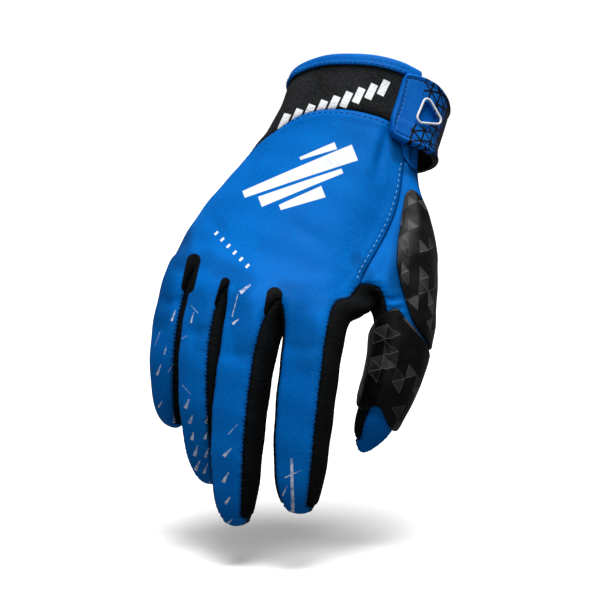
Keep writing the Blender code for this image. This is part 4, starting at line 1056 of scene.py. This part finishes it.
outline, cutter_rise = window_outline(0.0, 8), 0.006
cutter_mesh = bpy.data.meshes.new("window_cutter")
n = len(outline)
cutter_mesh.from_pydata(
    np.concatenate([outline + cutter_rise * window_out, outline - window_depth * window_out]).tolist(), [],
    [list(range(n)), list(range(2 * n - 1, n - 1, -1))]
    + [[(i + 1) % n, i, i + n, (i + 1) % n + n] for i in range(n)])
cutter = bpy.data.objects.new("window_cutter", cutter_mesh)
bpy.context.scene.collection.objects.link(cutter)
cut = strap.modifiers.new("window", "BOOLEAN")
cut.operation, cut.solver, cut.object = "DIFFERENCE", "EXACT", cutter
opened = bpy.data.meshes.new_from_object(strap.evaluated_get(bpy.context.evaluated_depsgraph_get()))
strap.modifiers.clear()
strap.data = opened
opened.shade_smooth()
opened.set_sharp_from_angle(angle=np.radians(50.0))
bpy.data.objects.remove(cutter)

# The window's rim is a thin white rubber bead that lies on the strap's face round the window.
rim_reach, rim_gap = 0.0008, 0.0003
centre_line = window_outline(rim_reach, 14)
outward = np.tile(window_out, (len(centre_line), 1))
centre_line = centre_line + (rim_gap + rim_radius) * outward
along = unit_rows(np.roll(centre_line, -1, 0) - np.roll(centre_line, 1, 0))
bead = rounded_loop([(0.0, 0.85), (0.6, 0.6), (0.78, 0.0), (0.6, -0.6), (0.0, -0.85), (-0.7, -0.6),
                     (-0.7, 0.6)], 2)
points, faces = carried(bead * rim_radius, centre_line, outward, np.cross(along, outward), closed=True)
white_rubber, place, principled = shader("white_rubber_bead", Specular_IOR_Level=0.4)
tone = place.noise(800.0, 3.0).smooth(0.3, 0.7)
wire(principled, Base_Color=tone.mix((0.72, 0.73, 0.75), (0.86, 0.87, 0.88)), Roughness=tone * 0.1 + 0.4)
add_piece("window_rim", points, faces, [white_rubber], "window_rim")


# The grip patches
# Two pieces of pressed grip rubber, glued and sewn on the thumb: a wrap round its end and a
# # leaf on its ball. Pressed triangle facets make the glossy black glint from cell to cell, and
# # some cells carry painted reflection in their colour.
thumb_patch = np.array([
    # turn, start, end
    (-36.0, 0.62, 0.79), (-10.0, 0.585, 0.83), (15.0, 0.56, 0.86), (40.0, 0.53, 0.86),
    (62.0, 0.50, 0.825), (80.0, 0.535, 0.825), (100.0, 0.555, 0.85), (124.0, 0.585, 0.875),
    (148.0, 0.61, 0.885), (166.0, 0.63, 0.88)])
thenar_patch = np.array([
    (60.0, 0.28, 0.37), (68.0, 0.17, 0.43), (80.0, 0.095, 0.48), (98.0, 0.075, 0.54),
    (122.0, 0.11, 0.575), (148.0, 0.20, 0.60), (175.0, 0.30, 0.615), (198.0, 0.38, 0.60)])
grip_wall, seat_gap, facet_pitch, facet_skew, facet_height = 0.0011, 0.0006, 5.6, 0.58, 0.22


def facets(across, down, pitch, depth, seed):
    """Heights of pressed triangles: the points of a skewed lattice stand at random heights,
    and each triangle between them is flat."""
    u, v = across / pitch, (down - facet_skew * across) / pitch
    i, j = np.floor(u).astype(int), np.floor(v).astype(int)
    fu, fv = u - i, v - j
    heights = np.random.default_rng(seed).uniform(-1.0, 1.0, (64, 64))
    first, right, below, last = (heights[(i + m) % 64, (j + n) % 64]
                                 for m, n in ((0, 0), (1, 0), (0, 1), (1, 1)))
    near_side = first + fu * (right - first) + fv * (below - first)
    far_side = last + (1 - fu) * (below - last) + (1 - fv) * (right - last)
    return depth * np.where(fu + fv > 1, far_side, near_side)


def grip_patch(name, table, rows, count, seed):
    """A patch laid on the thumb by rays from the thumb's axis outwards: turns across, and
    shares of the thumb's path down, between the table's starts and ends."""
    own, fine = np.linspace(0.0, 1.0, len(table)), np.linspace(0.0, 1.0, count)
    turn, begin, end = (calm_line(np.interp(fine, own, column), 2) for column in table.T)
    share = begin + (end - begin) * np.linspace(0.0, 1.0, rows)[:, None]
    middle, side, out = digit_axis("thumb", share, np.full(share.shape, thumb_facing))
    angle = np.radians(turn)[None, :, None]
    way = np.sin(angle) * out - np.cos(angle) * side
    met = [skin_tree.ray_cast(Vector(start), Vector(heading))[:2]
           for start, heading in zip(middle.reshape(-1, 3), way.reshape(-1, 3))]
    base, outward = (np.array(found).reshape(way.shape) for found in zip(*met))
    for _ in range(24):
        outward[1:-1] = unit_rows(outward[:-2] + 2 * outward[1:-1] + outward[2:])
        outward[:, 1:-1] = unit_rows(outward[:, :-2] + 2 * outward[:, 1:-1] + outward[:, 2:])
        base[1:-1] = (base[:-2] + 2 * base[1:-1] + base[2:]) / 4
        base[:, 1:-1] = (base[:, :-2] + 2 * base[:, 1:-1] + base[:, 2:]) / 4
    across, down = millimetres_over(base)
    border = np.minimum(np.minimum(across, across[:, -1:] - across), np.minimum(down, down[-1] - down))
    roll = -0.6 * (1 - np.sqrt(1 - np.clip(1 - border / 0.7, 0, 1) ** 2))
    arc = np.broadcast_to(across.mean(0), across.shape)
    along = share * (down[-1] / (end - begin)).mean()
    rise = roll + np.clip(border / 0.8, 0, 1) * facets(arc, along, facet_pitch, facet_height, seed)
    face = base + (seat_gap + grip_wall + rise / 1000)[..., None] * outward
    points, faces = closed_sheet(face, base + seat_gap * outward)
    marks = {"grip_place": np.tile(np.stack([arc, along, border], -1).reshape(-1, 3), (2, 1))}
    return add_piece(name, points, faces, [grip_rubber], name, marks=marks)


def pressed_rubber():
    """Black rubber pressed into triangles: most are smooth and deep black, some are glossy with
    thin raised edges, and all are rubbed a little. The grey of the glossy triangles, their light
    edge lines and a few brighter cells are painted reflection: the facets' glints put into the colour."""
    finish, place, principled = shader("grip_rubber", Specular_IOR_Level=0.14)
    across, down = place.node("ShaderNodeAttribute", {"attribute_name": "grip_place"},
                              output="Vector").parts()
    u, v = across * (1 / facet_pitch), (down - across * facet_skew) * (1 / facet_pitch)
    fu, fv = u.sum_of("FRACT"), v.sum_of("FRACT")
    far = fu + fv > 1.0
    cell = place.node("ShaderNodeCombineXYZ", X=u - fu, Y=v - fv, Z=far)
    draw = place.node("ShaderNodeTexWhiteNoise", {"noise_dimensions": "3D"}, Vector=cell)
    bare = draw > 0.76
    edge = ((fu + fv - 1.0) * 0.71).sum_of("ABSOLUTE")
    for side in (fu, 1.0 - fu, fv, 1.0 - fv):
        edge = edge.sum_of("MINIMUM", edge, side)
    line = edge.smooth(0.05, 0.02) * bare
    rubbed = place.noise(160.0, 4.0).smooth(0.38, 0.66)
    # painted reflection: grey glossy cells, light edge lines and brighter cells stand in for glints on the
    # facets; the rubbed noise is wear
    tone = bare * (rubbed * 0.3 + 0.1) + draw.smooth(0.86, 1.0) * 0.5 + line * 0.8 + rubbed * 0.04
    wire(principled, Base_Color=tone.mix((0.0025, 0.0025, 0.003), (0.070, 0.071, 0.074)),
         Roughness=rubbed * 0.12 + 0.34 - bare * 0.12,
         Normal=(place.noise(1800.0, 2.0) * 0.1 + line).bump(0.5, 0.0002))
    return finish


grip_rubber = pressed_rubber()
grip_patch("thumb_grip_patch", thumb_patch, 64, 110, 5)
grip_patch("thenar_grip_patch", thenar_patch, 90, 96, 11)


# The stitching
# Polyester thread: pale blue beside the thumb's seam, blue on the bindings and the strap, and
# a close dark overlock along the fingers' seams. Each stitch is a short plump capsule.
def even_steps(places, pitch):
    """Places and ways at even steps along a line, by its walked length."""
    walked = np.concatenate([[0.0], np.cumsum(np.linalg.norm(np.diff(places, axis=0), axis=1))])
    steps = np.arange(pitch / 2, walked[-1] - pitch / 2, pitch)
    here, onward, behind = (np.stack([np.interp(steps + offset, walked, axis) for axis in places.T], 1)
                            for offset in (0.0, 0.3 * pitch, -0.3 * pitch))
    return here, unit_rows(onward - behind)


def stitches(name, lines, length, radius, finish):
    """Capsules, six-sided, at (place, way along, way out): ring radii follow half an ellipse."""
    spin = np.linspace(0, 2 * np.pi, 6, endpoint=False)
    stations = np.array([(-1.0, 0.0), (-0.86, 0.62), (-0.4, 1.0), (0.4, 1.0), (0.86, 0.62), (1.0, 0.0)])
    place, along, out = (np.concatenate([line[n] for line in lines]) for n in range(3))
    out = unit_rows(out - np.sum(out * along, 1, keepdims=True) * along)
    side = np.cross(along, out)
    spokes = np.cos(spin)[:, None] * side[:, None, None] + np.sin(spin)[:, None] * out[:, None, None]
    rings = (place[:, None, None]
             + (length / 2 * stations[:, 0])[None, :, None, None] * along[:, None, None]
             + radius * stations[None, :, 1, None, None] * spokes)
    grid = np.arange(rings[..., 0].size).reshape(rings.shape[:3])
    above, below = grid[:, :-1], grid[:, 1:]
    faces = np.stack([above, below, np.roll(below, -1, 2), np.roll(above, -1, 2)], -1).reshape(-1, 4)
    crossed = np.cross(rings[0, 3, 0] - rings[0, 2, 0], rings[0, 2, 1] - rings[0, 2, 0])
    if crossed @ (rings[0, 2, 0] - place[0]) < 0:
        faces = faces[:, ::-1]
    return add_piece(name, rings.reshape(-1, 3), faces, [finish], None)


def thread(name, deep, bright):
    """Twisted thread: fine slanted strands of two tones."""
    finish, place, principled = shader(name, Roughness=0.55, Specular_IOR_Level=0.25)
    strands = place.noise(4200.0, 2.0).smooth(0.35, 0.65)
    wire(principled, Base_Color=strands.mix(deep, bright), Roughness=strands * 0.1 + 0.5)
    return finish


def beside_seam(run, toward, offset, pitch):
    """Stitch places on the skin beside a seam: the seam's line moved into a panel."""
    way = unit_rows(calm_line(toward[run] - skin[run], 6))
    line, along = even_steps(skin[run] + offset * way, pitch)
    met = [skin_tree.find_nearest(Vector(place))[:2] for place in line]
    nearest, out = (np.array(found) for found in zip(*met))
    return nearest + stitch_lift * out, along, out


def seam_runs(panel, beside):
    """The seams between two panels, as lists of points; very short ones are left out."""
    shared = seam_edges & (edge_owner == panel) & (edge_owner[edge_twin] == beside)
    return [run for run in runs_of(shared) if len(run) > 12]


def level_line(walked, places, levels):
    """The place in each row of a grid where the walked length comes to the row's level."""
    return np.array([[np.interp(level, lengths, axis) for axis in row.T]
                     for lengths, row, level in zip(walked, places, levels)])


stitch_lift = 0.00008
back_middles = middles_round(skin, skin_quads[skin_panels == BACK], len(skin))
pale_thread = thread("pale_blue_thread", (0.05, 0.22, 0.50), (0.16, 0.40, 0.72))
blue_thread = thread("blue_thread", (0.0, 0.06, 0.27), (0.01, 0.13, 0.46))
dark_thread = thread("dark_thread", (0.001, 0.010, 0.035), (0.002, 0.030, 0.100))
thumb_lines = [beside_seam(run, back_middles, 0.0021, 0.0026) for run in seam_runs(BACK, THUMB_BACK)]
stitches("thumb_seam_stitches", thumb_lines, 0.0017, 0.00024, pale_thread)
cuff_lines = [beside_seam(run, back_middles, 0.0019, 0.0024) for run in seam_runs(BACK, CUFF)]
stitches("cuff_seam_stitches", cuff_lines, 0.0016, 0.00022, blue_thread)
finger_lines = []
for beside in (LITTLE_RING, RING_MIDDLE, MIDDLE_INDEX, GUSSET):
    for run in seam_runs(BACK, beside):
        place, along, out = beside_seam(run, back_middles, 0.0004, 0.0016)
        seen = np.stack([place @ view_right, place @ view_up], 1) * 1000
        bare = np.ones(len(place), bool)
        for begin, end, radius in web_insets:
            first, reach, heading = flat_line(begin, end)
            way = np.array([np.cos(heading), np.sin(heading)])
            beyond = seen - first - np.clip((seen - first) @ way, 0, reach)[:, None] * way
            bare &= np.linalg.norm(beyond, axis=1) > radius + 0.3
        finger_lines.append((place[bare], np.cross(along, out)[bare], out[bare]))
stitches("finger_seam_stitches", finger_lines, 0.0013, 0.00022, dark_thread)
# the strap's stitches lie in its sewn line: millimetres from its edges, and along it
inset, last_stitch = 2.3, 46.0
level = (down[:, 0] > inset) & (down[:, 0] < down[-1, 0] - inset)
upright = (across[0] > inset) & (across[0] < last_stitch)
left = level_line(across[level], strap_face[level], np.full(level.sum(), inset))
foot, top = (level_line(down.T[upright], strap_face.swapaxes(0, 1)[upright], levels[upright])
             for levels in (down[-1] - inset, np.full(strap_columns, inset)))
strap_lines = []
for line in (left, foot, top):
    place, along = even_steps(line, 0.0021)
    outward = unit_rows(place - spine(np.full(len(place), window_length))[0])
    strap_lines.append((place + 0.0001 * outward, along, outward))
stitches("strap_stitches", strap_lines, 0.0014, 0.00020, dark_thread)
line, along = even_steps(mouth[0] - 0.0009 * mouth[2] + 0.00136 * mouth[1], 0.0023)
out = even_steps(mouth[0], 0.0023)[0]
nearest = [int(np.argmin(np.linalg.norm(mouth[0] - place, axis=1))) for place in line]
stitches("binding_stitches", [(line, along, mouth[1][nearest])], 0.0015, 0.00020, blue_thread)
